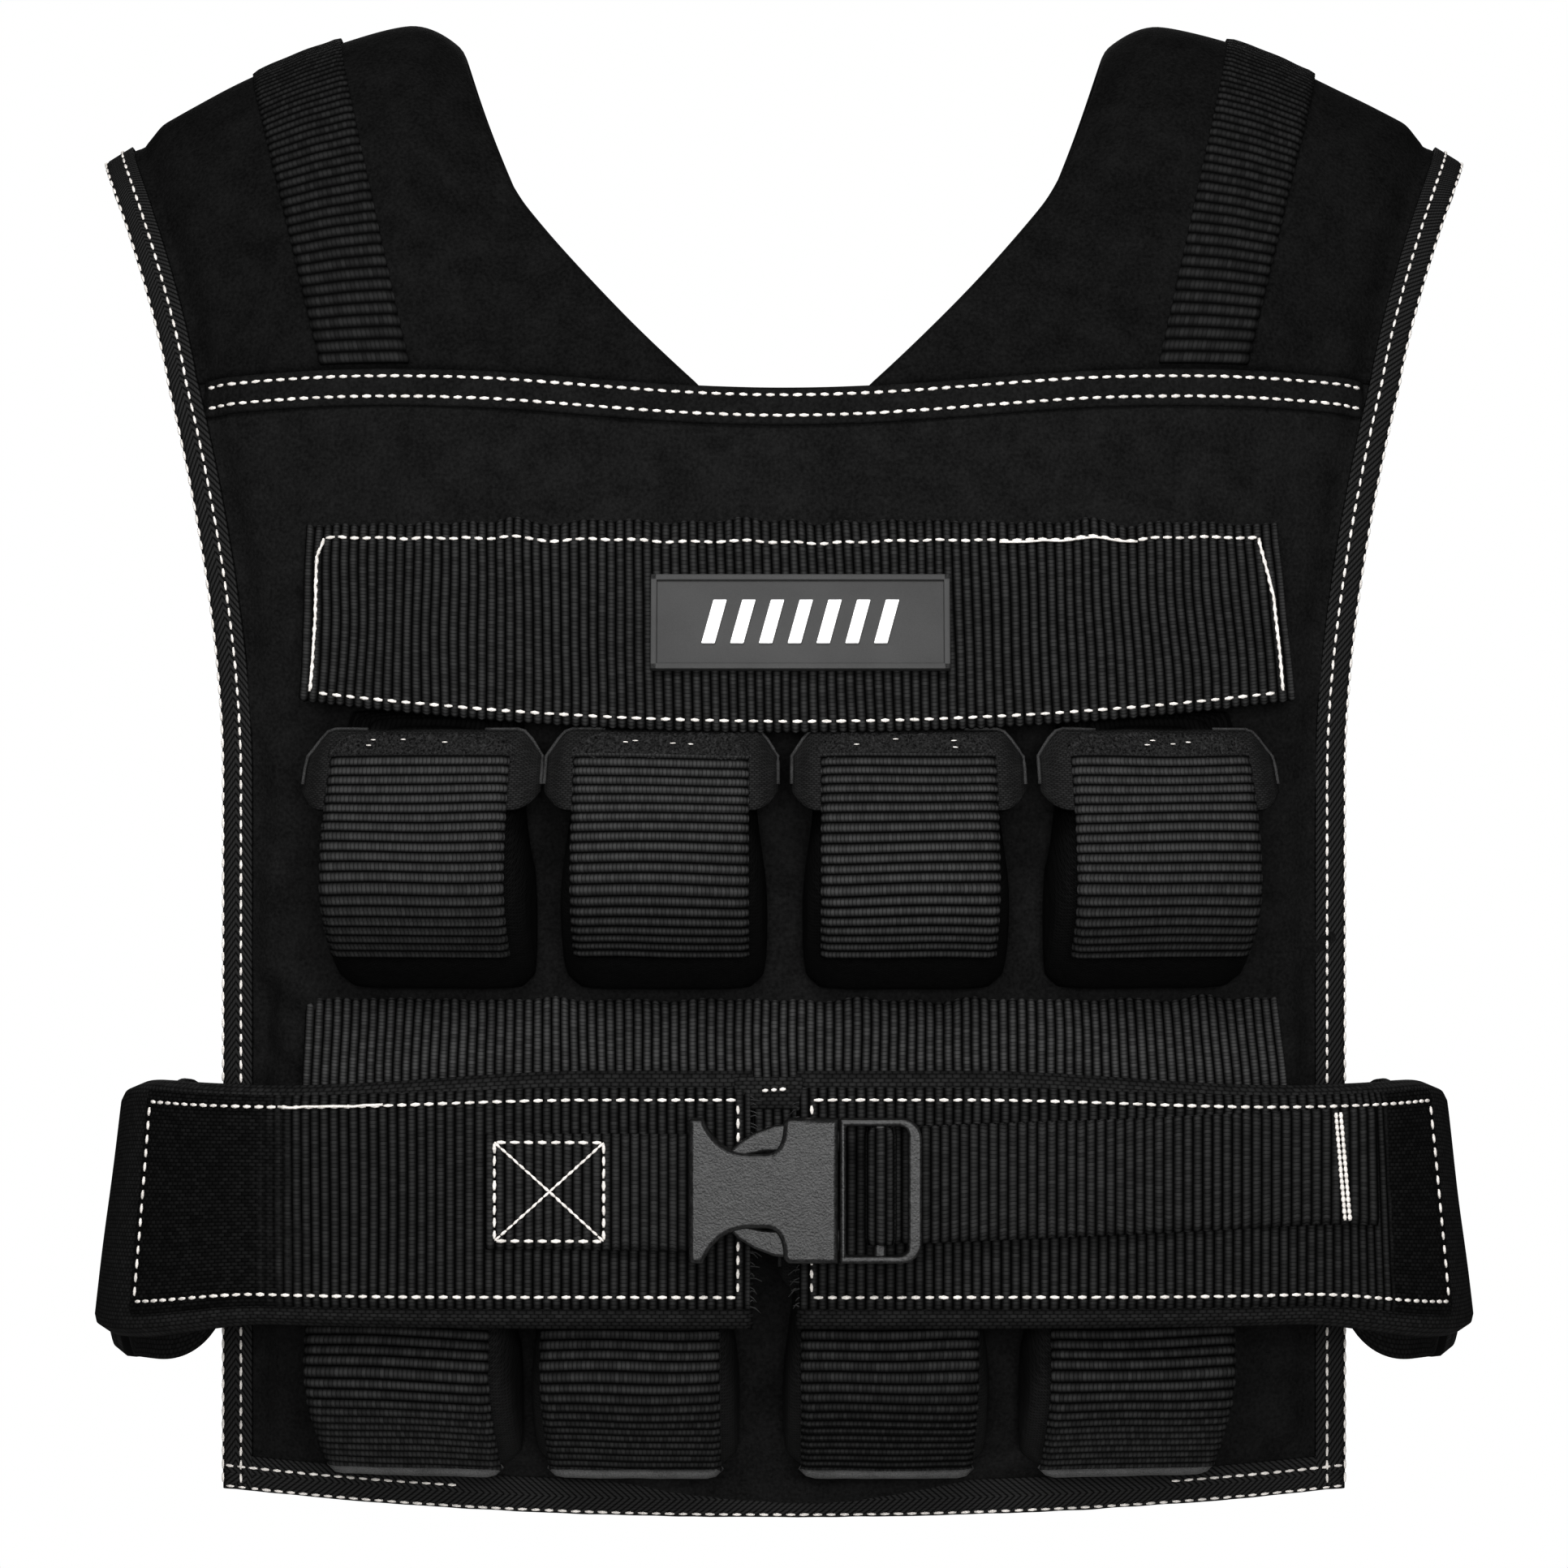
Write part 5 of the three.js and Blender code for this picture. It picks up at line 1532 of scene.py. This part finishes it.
def belt_table():
    """Half of the belt's route seen from above: run from the middle of the front, x and y."""
    points = []
    for depth, order in [(-BELT_FRONT, 1), (BELT_BACK, -1)]:
        turns = [math.pi / 2 * smooth(i / ROUTE_STEPS) for i in range(ROUTE_STEPS + 1)][::order]
        points += [(BELT_HALF * math.sin(turn) ** (2 / BELT_SQUARE),
                    depth * abs(math.cos(turn)) ** (2 / BELT_SQUARE)) for turn in turns]
    return runs_along(points), np.array(points)


BELT_RUN, BELT_XY = belt_table()
FRONT_COUNT = ROUTE_STEPS + 1


def belt_run_at(x, face=FRONT):
    """Signed run along the belt at which it passes x on the front or the back."""
    part = slice(0, FRONT_COUNT) if face == FRONT else slice(FRONT_COUNT, None)
    xs, runs = BELT_XY[part, 0], BELT_RUN[part]
    order = np.argsort(xs)
    return math.copysign(np.interp(abs(x), xs[order], runs[order]), x)


def seen_from_above(run):
    """How far out, and how far back, the belt is at a run."""
    return [float(np.interp(abs(run), BELT_RUN, BELT_XY[:, i])) for i in (0, 1)]


def on_belt(run, up, dip=0.0):
    """Place on the belt's inner face. run is signed, up runs from 0 at the foot to 1 at the top."""
    side = math.copysign(1, run)
    reach, y = seen_from_above(run)
    aside = smooth((reach / BELT_HALF - BELT_CORNER) / (1 - BELT_CORNER))
    top = BELT_TOP - dip * smooth((reach - 60) / 110)
    top -= TOP_SAG * smooth((y + 100) / 110) * smooth((reach - 150) / 45)
    return Vector((side * (reach - BELT_LEAN * aside * up), y, lerp(BELT_FOOT - BELT_SAG * aside, top, up)))


print("the belt is", round(2 * BELT_RUN[-1]), "mm round")

# %% [markdown]
# The two halves are padded like the panels. Seen from the front, each end of the belt hangs down in a
# round bulge and rises above in a small fold, both behind the front corner. The padding's edges follow
# the route, and these two forms are added to its height.

# %% Padded halves of the belt
GAP_LEFT, GAP_RIGHT = -10, 4   # ends of the padding behind the buckle
BACK_REACH = 42                # how far from the middle of the back each half ends
BELT_ROUND = 5.0
BULGE_AT, BULGE_HALF, BULGE_DROP = 219, 17, 21
BUMP_AT, BUMP_WIDTH, BUMP_RISE = 223, 6, 8


def belt_bulge(run, up):
    """How far the lower edge hangs down behind a front corner."""
    reach, y = seen_from_above(run)
    across = (reach - BULGE_AT) / BULGE_HALF
    return BULGE_DROP * math.sqrt(max(0.0, 1 - across * across)) * smooth((y + 15) / 40) * (1 - up) ** 2


def belt_bump(run, up):
    """How far the top edge rises behind a front corner."""
    reach, y = seen_from_above(run)
    return BUMP_RISE * math.exp(-((reach - BUMP_AT) / BUMP_WIDTH) ** 2) * smooth((y + 20) / 40) * up ** 4


for side, name in SIDES:
    back_end = belt_run_at(side * BACK_REACH, BACK)
    front_end = belt_run_at(GAP_LEFT if side == LEFT else GAP_RIGHT)
    first, last = sorted([front_end, back_end])
    length = last - first

    def place(u, v, first=first, length=length):
        run = first + u * length
        at = on_belt(run, v, PAD_DIP)
        at.z += belt_bump(run, v) - belt_bulge(run, v)
        return at

    def thick(u, v, length=length):
        edge = min(min(v, 1 - v) * BELT_HEIGHT, min(u, 1 - u) * length)
        return BELT_THICK * round_edge(edge, BELT_ROUND) + 0.5 * wobble(u * length, v * BELT_HEIGHT, 40, 3)

    mesh = padded_grid(place, 260, 36, (length, BELT_HEIGHT), thick)
    pad = finish_piece(mesh, name + "_belt_padding", belt_cloth, [name + "_belt_pad"])

# %% [markdown]
# The webbing lies on the padding inside an outline of stitches. Its relief and its material both read how
# ribbed it is at a point, so the shape and the threads fade out together.

# %% Webbing on the belt
WEB_HEIGHT, WEB_DOWN, WEB_WALL = 72, 5, 2
BELT_RIB, BELT_RIB_HEIGHT = 3.1, 0.7
OUTLINE_INSET = 4              # distance of the stitches from the edges of the webbing
WEB_ENDS = {"left": (-211, GAP_LEFT - 1), "right": (GAP_RIGHT + 1, 216)}
RIB_FADE = {"left": (-172, -150), "right": (197, 194)}
belt_stitches = bmesh.new()


def belt_web(name, ribs=True):
    low_x, high_x = WEB_ENDS[name]
    first, last = belt_run_at(low_x), belt_run_at(high_x)
    length = last - first
    top = 1 - WEB_DOWN / BELT_HEIGHT
    foot = top - WEB_HEIGHT / BELT_HEIGHT
    fade = [(belt_run_at(x) - first) / length for x in RIB_FADE[name]]

    def place(u, v):
        sway = 0.7 * wobble(u * length, v * 30, 30, 12)
        return on_belt(first + u * length + sway, lerp(foot, top, v), WEB_DIP)

    def ribbed(u, v):
        patchy = 0.35 * wobble(u * length, v * 30, 4, 31)
        return smooth((u - fade[0]) / (fade[1] - fade[0]) + patchy)

    def stand(u, v):
        slack = 0.7 * wobble(u * length, v * WEB_HEIGHT, 45, 14)
        level = BELT_THICK + SEAT_GAP + WEB_WALL - RIB_SEAT + slack - edge_drop(v, WEB_HEIGHT, 0.8, 2)
        return level + (rib(u * length, BELT_RIB, BELT_RIB_HEIGHT) * ribbed(u, v) if ribs else STITCH_SEAT)

    return place, stand, ribbed, (length, WEB_HEIGHT)


for name in ("left", "right"):
    place, stand, ribbed, size = belt_web(name)
    mesh = laid_grid(place, round(size[0] / BELT_RIB) * RIB_STEPS, 26, size, stand, ribbed=ribbed)
    web = finish_piece(mesh, name + "_belt_web", belt_webbing, [name + "_belt_webbing"], wall=1.5)
    place, stand, _, size = belt_web(name, False)
    wide, high = size[0] - OUTLINE_INSET, size[1] - OUTLINE_INSET
    for y in (high, OUTLINE_INSET):
        sew_row(belt_stitches, path_on(place, stand, [(OUTLINE_INSET, y), (wide, y)], size))
    for x in (OUTLINE_INSET, wide):
        sew_row(belt_stitches, path_on(place, stand, [(x, OUTLINE_INSET + 1), (x, high - 1)], size))
finish_piece(belt_stitches, "belt_stitches", white_thread)

# %% [markdown]
# Behind the buckle the cut ends of the webbing fray. Each loose fibre is a short thin cord with four
# sides, which is enough for a thread that covers two pixels. A small tongue of belt cloth lies over the
# gap above the buckle.

# %% Ends of the webbing at the buckle
FIBRE_COUNT, FIBRE_RADIUS = 42, 0.3
fibres = bmesh.new()
for name, share, way in [("left", 1.0, 1), ("right", 0.0, -1)]:
    place, stand, _, size = belt_web(name, False)
    for i in range(FIBRE_COUNT):
        v = (i + dice.random()) / FIBRE_COUNT
        start = place(share, v) + square_to(place, share, v) * (stand(share, v) - dice.uniform(0, 1.2))
        away = Vector((way * dice.uniform(1.2, 4), dice.uniform(-0.6, 0.6), dice.uniform(-1.6, 1)))
        droop = Vector((0, 0, -dice.uniform(0, 1.6)))
        cord(fibres, [start, start + away * 0.5, start + away + droop], FIBRE_RADIUS, 4, 0.5)
finish_cords(fibres, "frayed_ends", piping_cloth)

# %% Tongue above the buckle
TONGUE = (22, 10.5)
TONGUE_START = -16
TONGUE_ROW = [(8.5, 6), (17, 6.6)]


def tongue_place(u, v):
    at = on_belt(TONGUE_START + u * TONGUE[0], 1 - (1.5 + (1 - v) * TONGUE[1]) / BELT_HEIGHT)
    return at + Vector((0, -(BELT_THICK + 0.9), 0))


def tongue_stand(u, v):
    return 0.9 * math.sin(math.pi * v) + 0.3 * wobble(u * 22, v * 9, 5, 2)


mesh = laid_grid(tongue_place, 40, 16, TONGUE, tongue_stand)
tongue = finish_piece(mesh, "belt_tongue", belt_cloth, wall=0.8)
tongue_stitches = bmesh.new()
sew_row(tongue_stitches, path_on(tongue_place, even(1.4), TONGUE_ROW, TONGUE), pitch=3.2, length=2.4)
finish_piece(tongue_stitches, "tongue_stitches", white_thread)

# %% [markdown]
# Where a seam was sewn twice, one thread lies loose over its stitches. Such a thread is one cord along
# the same path as the row, shaken a little so that it doesn't look ruled.

# %% Long threads
BELT_THREAD_END, BELT_THREAD_LENGTH = 118, 34      # on the left half, counted from the buckle
place, stand, _, size = belt_web("left", False)
thread_end, thread_level = size[0] - BELT_THREAD_END, size[1] - OUTLINE_INSET
belt_thread = [(thread_end - BELT_THREAD_LENGTH, thread_level), (thread_end, thread_level + 0.2)]
loose_threads.append(path_on(place, stand, belt_thread, size, THREAD_SPACING))
threads = bmesh.new()
for path in loose_threads:
    line = [point + normal * 0.7 + Vector((dice.uniform(-0.15, 0.15), 0, dice.uniform(-0.2, 0.2)))
            for point, normal in path]
    cord(threads, line, 0.5)
finish_cords(threads, "loose_threads", white_thread)

# %% [markdown]
# The photograph doesn't show the back. There the belt's two ends meet under one stitched piece of webbing,
# which follows the same route as the belt.

# %% Patch at the back
PATCH_BACK = (120, 74)
BACK_INSET = 4                 # distance of the stitches from the patch's edges


def back_place(u, v):
    x = lerp(PATCH_BACK[0] / 2, -PATCH_BACK[0] / 2, u)
    _, y = seen_from_above(belt_run_at(x, BACK))
    return Vector((x, y, (BELT_TOP + BELT_FOOT) / 2 + (v - 0.5) * PATCH_BACK[1]))


def back_stand(u, v):
    return BELT_THICK + SEAT_GAP + 2.0 + rib(u * PATCH_BACK[0], BELT_RIB, 0.5)


mesh = laid_grid(back_place, round(PATCH_BACK[0] / BELT_RIB) * RIB_STEPS, 24, PATCH_BACK, back_stand)
back_patch = finish_piece(mesh, "back_patch_webbing", webbing_cloth, ["belt_back_patch"], wall=1.6)
back_stitches = bmesh.new()
near, wide, high = BACK_INSET, PATCH_BACK[0] - BACK_INSET, PATCH_BACK[1] - BACK_INSET
outline = [(near, near), (wide, near), (wide, high), (near, high), (near, near)]
for start, end in zip(outline, outline[1:]):
    sew_row(back_stitches, path_on(back_place, even(BELT_THICK + 2.7), [start, end], PATCH_BACK))
finish_piece(back_stitches, "back_stitches", white_thread)

# %% [markdown]
# ## Buckle and its straps
#
# The buckle is moulded plastic. The socket is drawn as an outline from the front, filled, pulled out to
# its thickness, and then bevelled, which gives the soft highlights along its edges.

# %% Sizes of the buckle
MEET_X, BUCKLE_Z = 17.4, BELT_TOP - 37.5
BUCKLE_HEIGHT, BUCKLE_THICK, BUCKLE_STAND = 46.5, 11, 6.5
SOCKET_LENGTH, SOCKET_WAIST, SOCKET_BLOCK, SOCKET_FLARE = 48, 24, 17.5, 9
FRAME_LENGTH, FRAME_BAR = 27, 4
BUCKLE_BACK_Y = -(BELT_FRONT + BELT_THICK + SEAT_GAP + WEB_WALL + BUCKLE_STAND)


def bend(start, middle, end, steps):
    """Points of a quadratic curve after its start."""
    points = []
    for i in range(1, steps + 1):
        t = i / steps
        weights = (1 - t) ** 2, 2 * t * (1 - t), t * t
        points.append(tuple(np.dot(weights, (start, middle, end))))
    return points


def socket_outline():
    """Lower half of the socket's outline, from its flared end to the meeting line."""
    half, waist, end = BUCKLE_HEIGHT / 2, SOCKET_WAIST / 2, -SOCKET_LENGTH
    points = [(end, -half + 1), (end + 1, -half), (end + SOCKET_FLARE / 2, -half)]
    points += bend(points[-1], (end + SOCKET_FLARE, -waist - 0.5), (end + 2.1 * SOCKET_FLARE, -waist), 12)
    points.append((-SOCKET_BLOCK - 6, -waist))
    points += bend(points[-1], (-SOCKET_BLOCK, -waist), (-SOCKET_BLOCK, -half + 1.5), 8)
    points += [(-SOCKET_BLOCK + 1.5, -half), (0, -half)]
    return points


def pull_and_round(mesh, faces, depth, bevel, is_rim):
    """Pulls faces out along y by a depth, and rounds the edges that is_rim picks."""
    made = bmesh.ops.extrude_face_region(mesh, geom=faces)
    raised = [item for item in made["geom"] if isinstance(item, bmesh.types.BMVert)]
    bmesh.ops.translate(mesh, vec=(0, depth, 0), verts=raised)
    bmesh.ops.recalc_face_normals(mesh, faces=mesh.faces)
    rim = [edge for edge in mesh.edges if is_rim(edge)]
    bmesh.ops.bevel(mesh, geom=rim, offset=bevel, affect="EDGES", segments=3, profile=0.5, material=-1,
                    clamp_overlap=True)


def plate_from(mesh, outline, front, back, bevel):
    """Fills an outline in x and z, pulls it from back to front in y, and rounds its edges."""
    face = mesh.faces.new([mesh.verts.new((x, back, z)) for x, z in outline])
    pull_and_round(mesh, [face], front - back, bevel,
                   lambda edge: abs(edge.verts[0].co.y - edge.verts[1].co.y) < 1e-6)


def place_buckle(mesh):
    bmesh.ops.translate(mesh, vec=(MEET_X, BUCKLE_BACK_Y, BUCKLE_Z), verts=mesh.verts)


def sharp_by_angle(piece):
    """Flat faces stay flat, and only small bevels are shaded round."""
    weighted = piece.modifiers.new("Normals", "WEIGHTED_NORMAL")
    weighted.keep_sharp = True


socket = bmesh.new()
lower = socket_outline()
plate_from(socket, lower + [(x, -z) for x, z in reversed(lower)], -BUCKLE_THICK, 0, 1.6)
place_buckle(socket)
sharp_by_angle(finish_piece(socket, "socket_body", plastic, ["buckle_socket"]))

# %% [markdown]
# The plug is a ring with a bar across it, over which the strap turns, and two prongs that grip the
# socket from inside. The ring is drawn as two outlines with a band of faces between them.

# %% Plug with its frame and prongs
BAR_OFF = 13.6                 # middle of the bar from the meeting line
PRONG = [(0.5, 12.5), (-12, 13), (-24, 12.6), (-34, 10.5), (-35.5, 12), (-32, 15.5), (-27, 18.6),
         (-20.5, 21), (-17, 21.4), (-15, 20.5), (-10, 19.5), (0.5, 19.5)]


def rounded_end(start_x, end_x, half, radius, steps=6):
    """Outline that is square at start_x and rounded at end_x."""
    points = [(start_x, -half)]
    for turn, z in [(-0.5, -half + radius), (0.0, half - radius)]:
        for i in range(steps + 1):
            angle = math.pi * (turn + 0.5 * i / steps)
            points.append((end_x - radius + radius * math.cos(angle), z + radius * math.sin(angle)))
    return points + [(start_x, half)]


def ring_plate(mesh, outer, inner, front, back, bevel):
    """Flat ring between two outlines with as many points, pulled from back to front in y, edges rounded."""
    outside = [mesh.verts.new((x, back, z)) for x, z in outer]
    inside = [mesh.verts.new((x, back, z)) for x, z in inner]
    count = len(outer)
    ring = [mesh.faces.new((outside[i], outside[(i + 1) % count], inside[(i + 1) % count], inside[i]))
            for i in range(count)]
    pull_and_round(mesh, ring, front - back, bevel,
                   lambda edge: len(edge.link_faces) == 2 and edge.calc_face_angle() > 1.2)


plug = bmesh.new()
half = BUCKLE_HEIGHT / 2
outer = rounded_end(0.6, FRAME_LENGTH, half, 6.5)
inner = rounded_end(2.6, FRAME_LENGTH - 4.4, half - 2.3, 3.0)
ring_plate(plug, outer, inner, -BUCKLE_THICK + 0.8, -1.6, 0.8)
block(plug, (FRAME_BAR, 4, BUCKLE_HEIGHT - 3), (BAR_OFF, -BUCKLE_THICK / 2, 0), 1.0)
for side in (LEFT, RIGHT):
    finger = bmesh.new()
    plate_from(finger, [(x, z * side) for x, z in PRONG], -BUCKLE_THICK + 2.2, -3.2, 0.9)
    data = bpy.data.meshes.new("prong")
    finger.to_mesh(data)
    finger.free()
    plug.from_mesh(data)
place_buckle(plug)
sharp_by_angle(finish_piece(plug, "plug_frame", plastic, ["buckle_plug"]))

# %% [markdown]
# The straps follow a route seen from above, given as x and how far in front of the belt's webbing the
# middle of the strap lies. The left strap is sewn flat and rises to the socket. The right strap passes
# over the plug's bar and comes back under itself, where its free end shows.

# %% Straps of the buckle
BUCKLE_STRAP, BUCKLE_STRAP_WALL = 38, 1.8
STRAP_SEAT = SEAT_GAP + BUCKLE_STRAP_WALL / 2
LEFT_START, RIGHT_END, TAIL_END = -96, 190, 90
LEFT_DROP, RIGHT_LIFT, RIGHT_RISE = 1.2, 1.4, 5
BUCKLE_RIB, BUCKLE_RIB_HEIGHT = 3.0, 0.5


def smooth_route(points, spacing=0.5):
    """Evenly spaced points along a smooth line through the given ones, and its length."""
    known = [np.array(point, dtype=float) for point in points]
    dense = curve_through(known[0], known, known[-1], 16)
    run = runs_along(dense)
    stations = np.linspace(0, run[-1], round(run[-1] / spacing) + 1)
    return np.stack([np.interp(stations, run, dense[:, k]) for k in (0, 1)], axis=1), run[-1]


def strap_surface(route, z_at):
    """Lay of a strap along a route, at the height z_at(x), and its length."""
    line, length = smooth_route(route)
    shares = np.linspace(0, 1, len(line))

    def place(u, v):
        x, off = (float(np.interp(u, shares, line[:, k])) for k in (0, 1))
        z = z_at(x) + (v - 0.5) * BUCKLE_STRAP
        up = (z - BELT_FOOT) / BELT_HEIGHT
        run = belt_run_at(x)
        ahead, behind = on_belt(run + 0.5, up), on_belt(run - 0.5, up)
        across = (ahead - behind).normalized()
        out = across.cross(Vector((0, 0, 1)))
        return on_belt(run, up) + out * (BELT_THICK + SEAT_GAP + WEB_WALL + off)
    return place, length


def buckle_strap(name, route, z_at, node):
    place, length = strap_surface(route, z_at)

    def shaped(u, v):
        edge = scallop(u * length, BUCKLE_RIB, 0.5) / BUCKLE_STRAP
        return place(u, lerp(edge, 1 - edge, v))

    def stand(u, v):
        return 0.3 + rib(u * length, BUCKLE_RIB, BUCKLE_RIB_HEIGHT) - edge_drop(v, BUCKLE_STRAP, 0.5, 1.5)

    columns = round(length / BUCKLE_RIB) * RIB_STEPS
    mesh = laid_grid(shaped, columns, 16, (length, BUCKLE_STRAP), stand)
    strap = finish_piece(mesh, name, webbing_cloth, [node], wall=1.3)
    return place, length


END_X = MEET_X - SOCKET_LENGTH + 3
LEFT_ROUTE = [(LEFT_START, STRAP_SEAT), (-70, STRAP_SEAT), (-48, 2.6),
              (END_X - 3, 5.0), (END_X, 6.2), (END_X + 2, 8)]
left_lay, left_length = buckle_strap("left_strap", LEFT_ROUTE, lambda x: BUCKLE_Z - LEFT_DROP,
                                     "left_buckle_strap")

BAR_X = MEET_X + BAR_OFF
FRAME_END = MEET_X + FRAME_LENGTH
RIGHT_ROUTE = [
    (TAIL_END, STRAP_SEAT), (BAR_X + 8, STRAP_SEAT), (BAR_X - 2.3, 1.7), (BAR_X - 4.2, 5.4),
    (BAR_X - 3.9, 13.0), (BAR_X - 2, 15.7), (BAR_X + 2, 15.7), (BAR_X + 3.9, 13.0), (BAR_X + 4.4, 8.0),
    (BAR_X + 6.3, 6.2), (FRAME_END + 1, 6.0), (62, 4.4), (100, 3.3), (140, STRAP_SEAT), (165, STRAP_SEAT),
    (RIGHT_END, STRAP_SEAT),
]


def right_z(x):
    return BUCKLE_Z + RIGHT_LIFT + RIGHT_RISE * clamp01((x - FRAME_END) / (RIGHT_END - FRAME_END))


right_lay, right_length = buckle_strap("right_strap", RIGHT_ROUTE, right_z,
                                       "right_buckle_strap")

# %% [markdown]
# The left strap is sewn down with a box and a cross, the right one with a bar tack of close stitches.

# %% Box stitch and bar tack
BOX = [(3, 3), (38, 3), (38, 35), (3, 35), (3, 3)]
TACK_FROM_END, TACK_LEAN, TACK_ROWS = 11, 3, (-0.8, 0.8)
strap_stitches = bmesh.new()
left_size, right_size = (left_length, BUCKLE_STRAP), (right_length, BUCKLE_STRAP)
for start, end in zip(BOX, BOX[1:]):
    sew_row(strap_stitches, path_on(left_lay, even(0.7), [start, end], left_size), pitch=4.2)
for start, end in [(BOX[0], BOX[2]), (BOX[1], BOX[3])]:
    path = path_on(left_lay, even(0.7), [start, end], left_size)
    sew_row(strap_stitches, path, pitch=2.6, length=3.2, width=1.1)
for shift in TACK_ROWS:
    foot = right_length - TACK_FROM_END + shift
    path = path_on(right_lay, even(0.9), [(foot - TACK_LEAN, 36.5), (foot, 1.5)], right_size)
    sew_row(strap_stitches, path, pitch=2.0, length=2.6, width=1.7)
finish_piece(strap_stitches, "strap_stitches", white_thread)
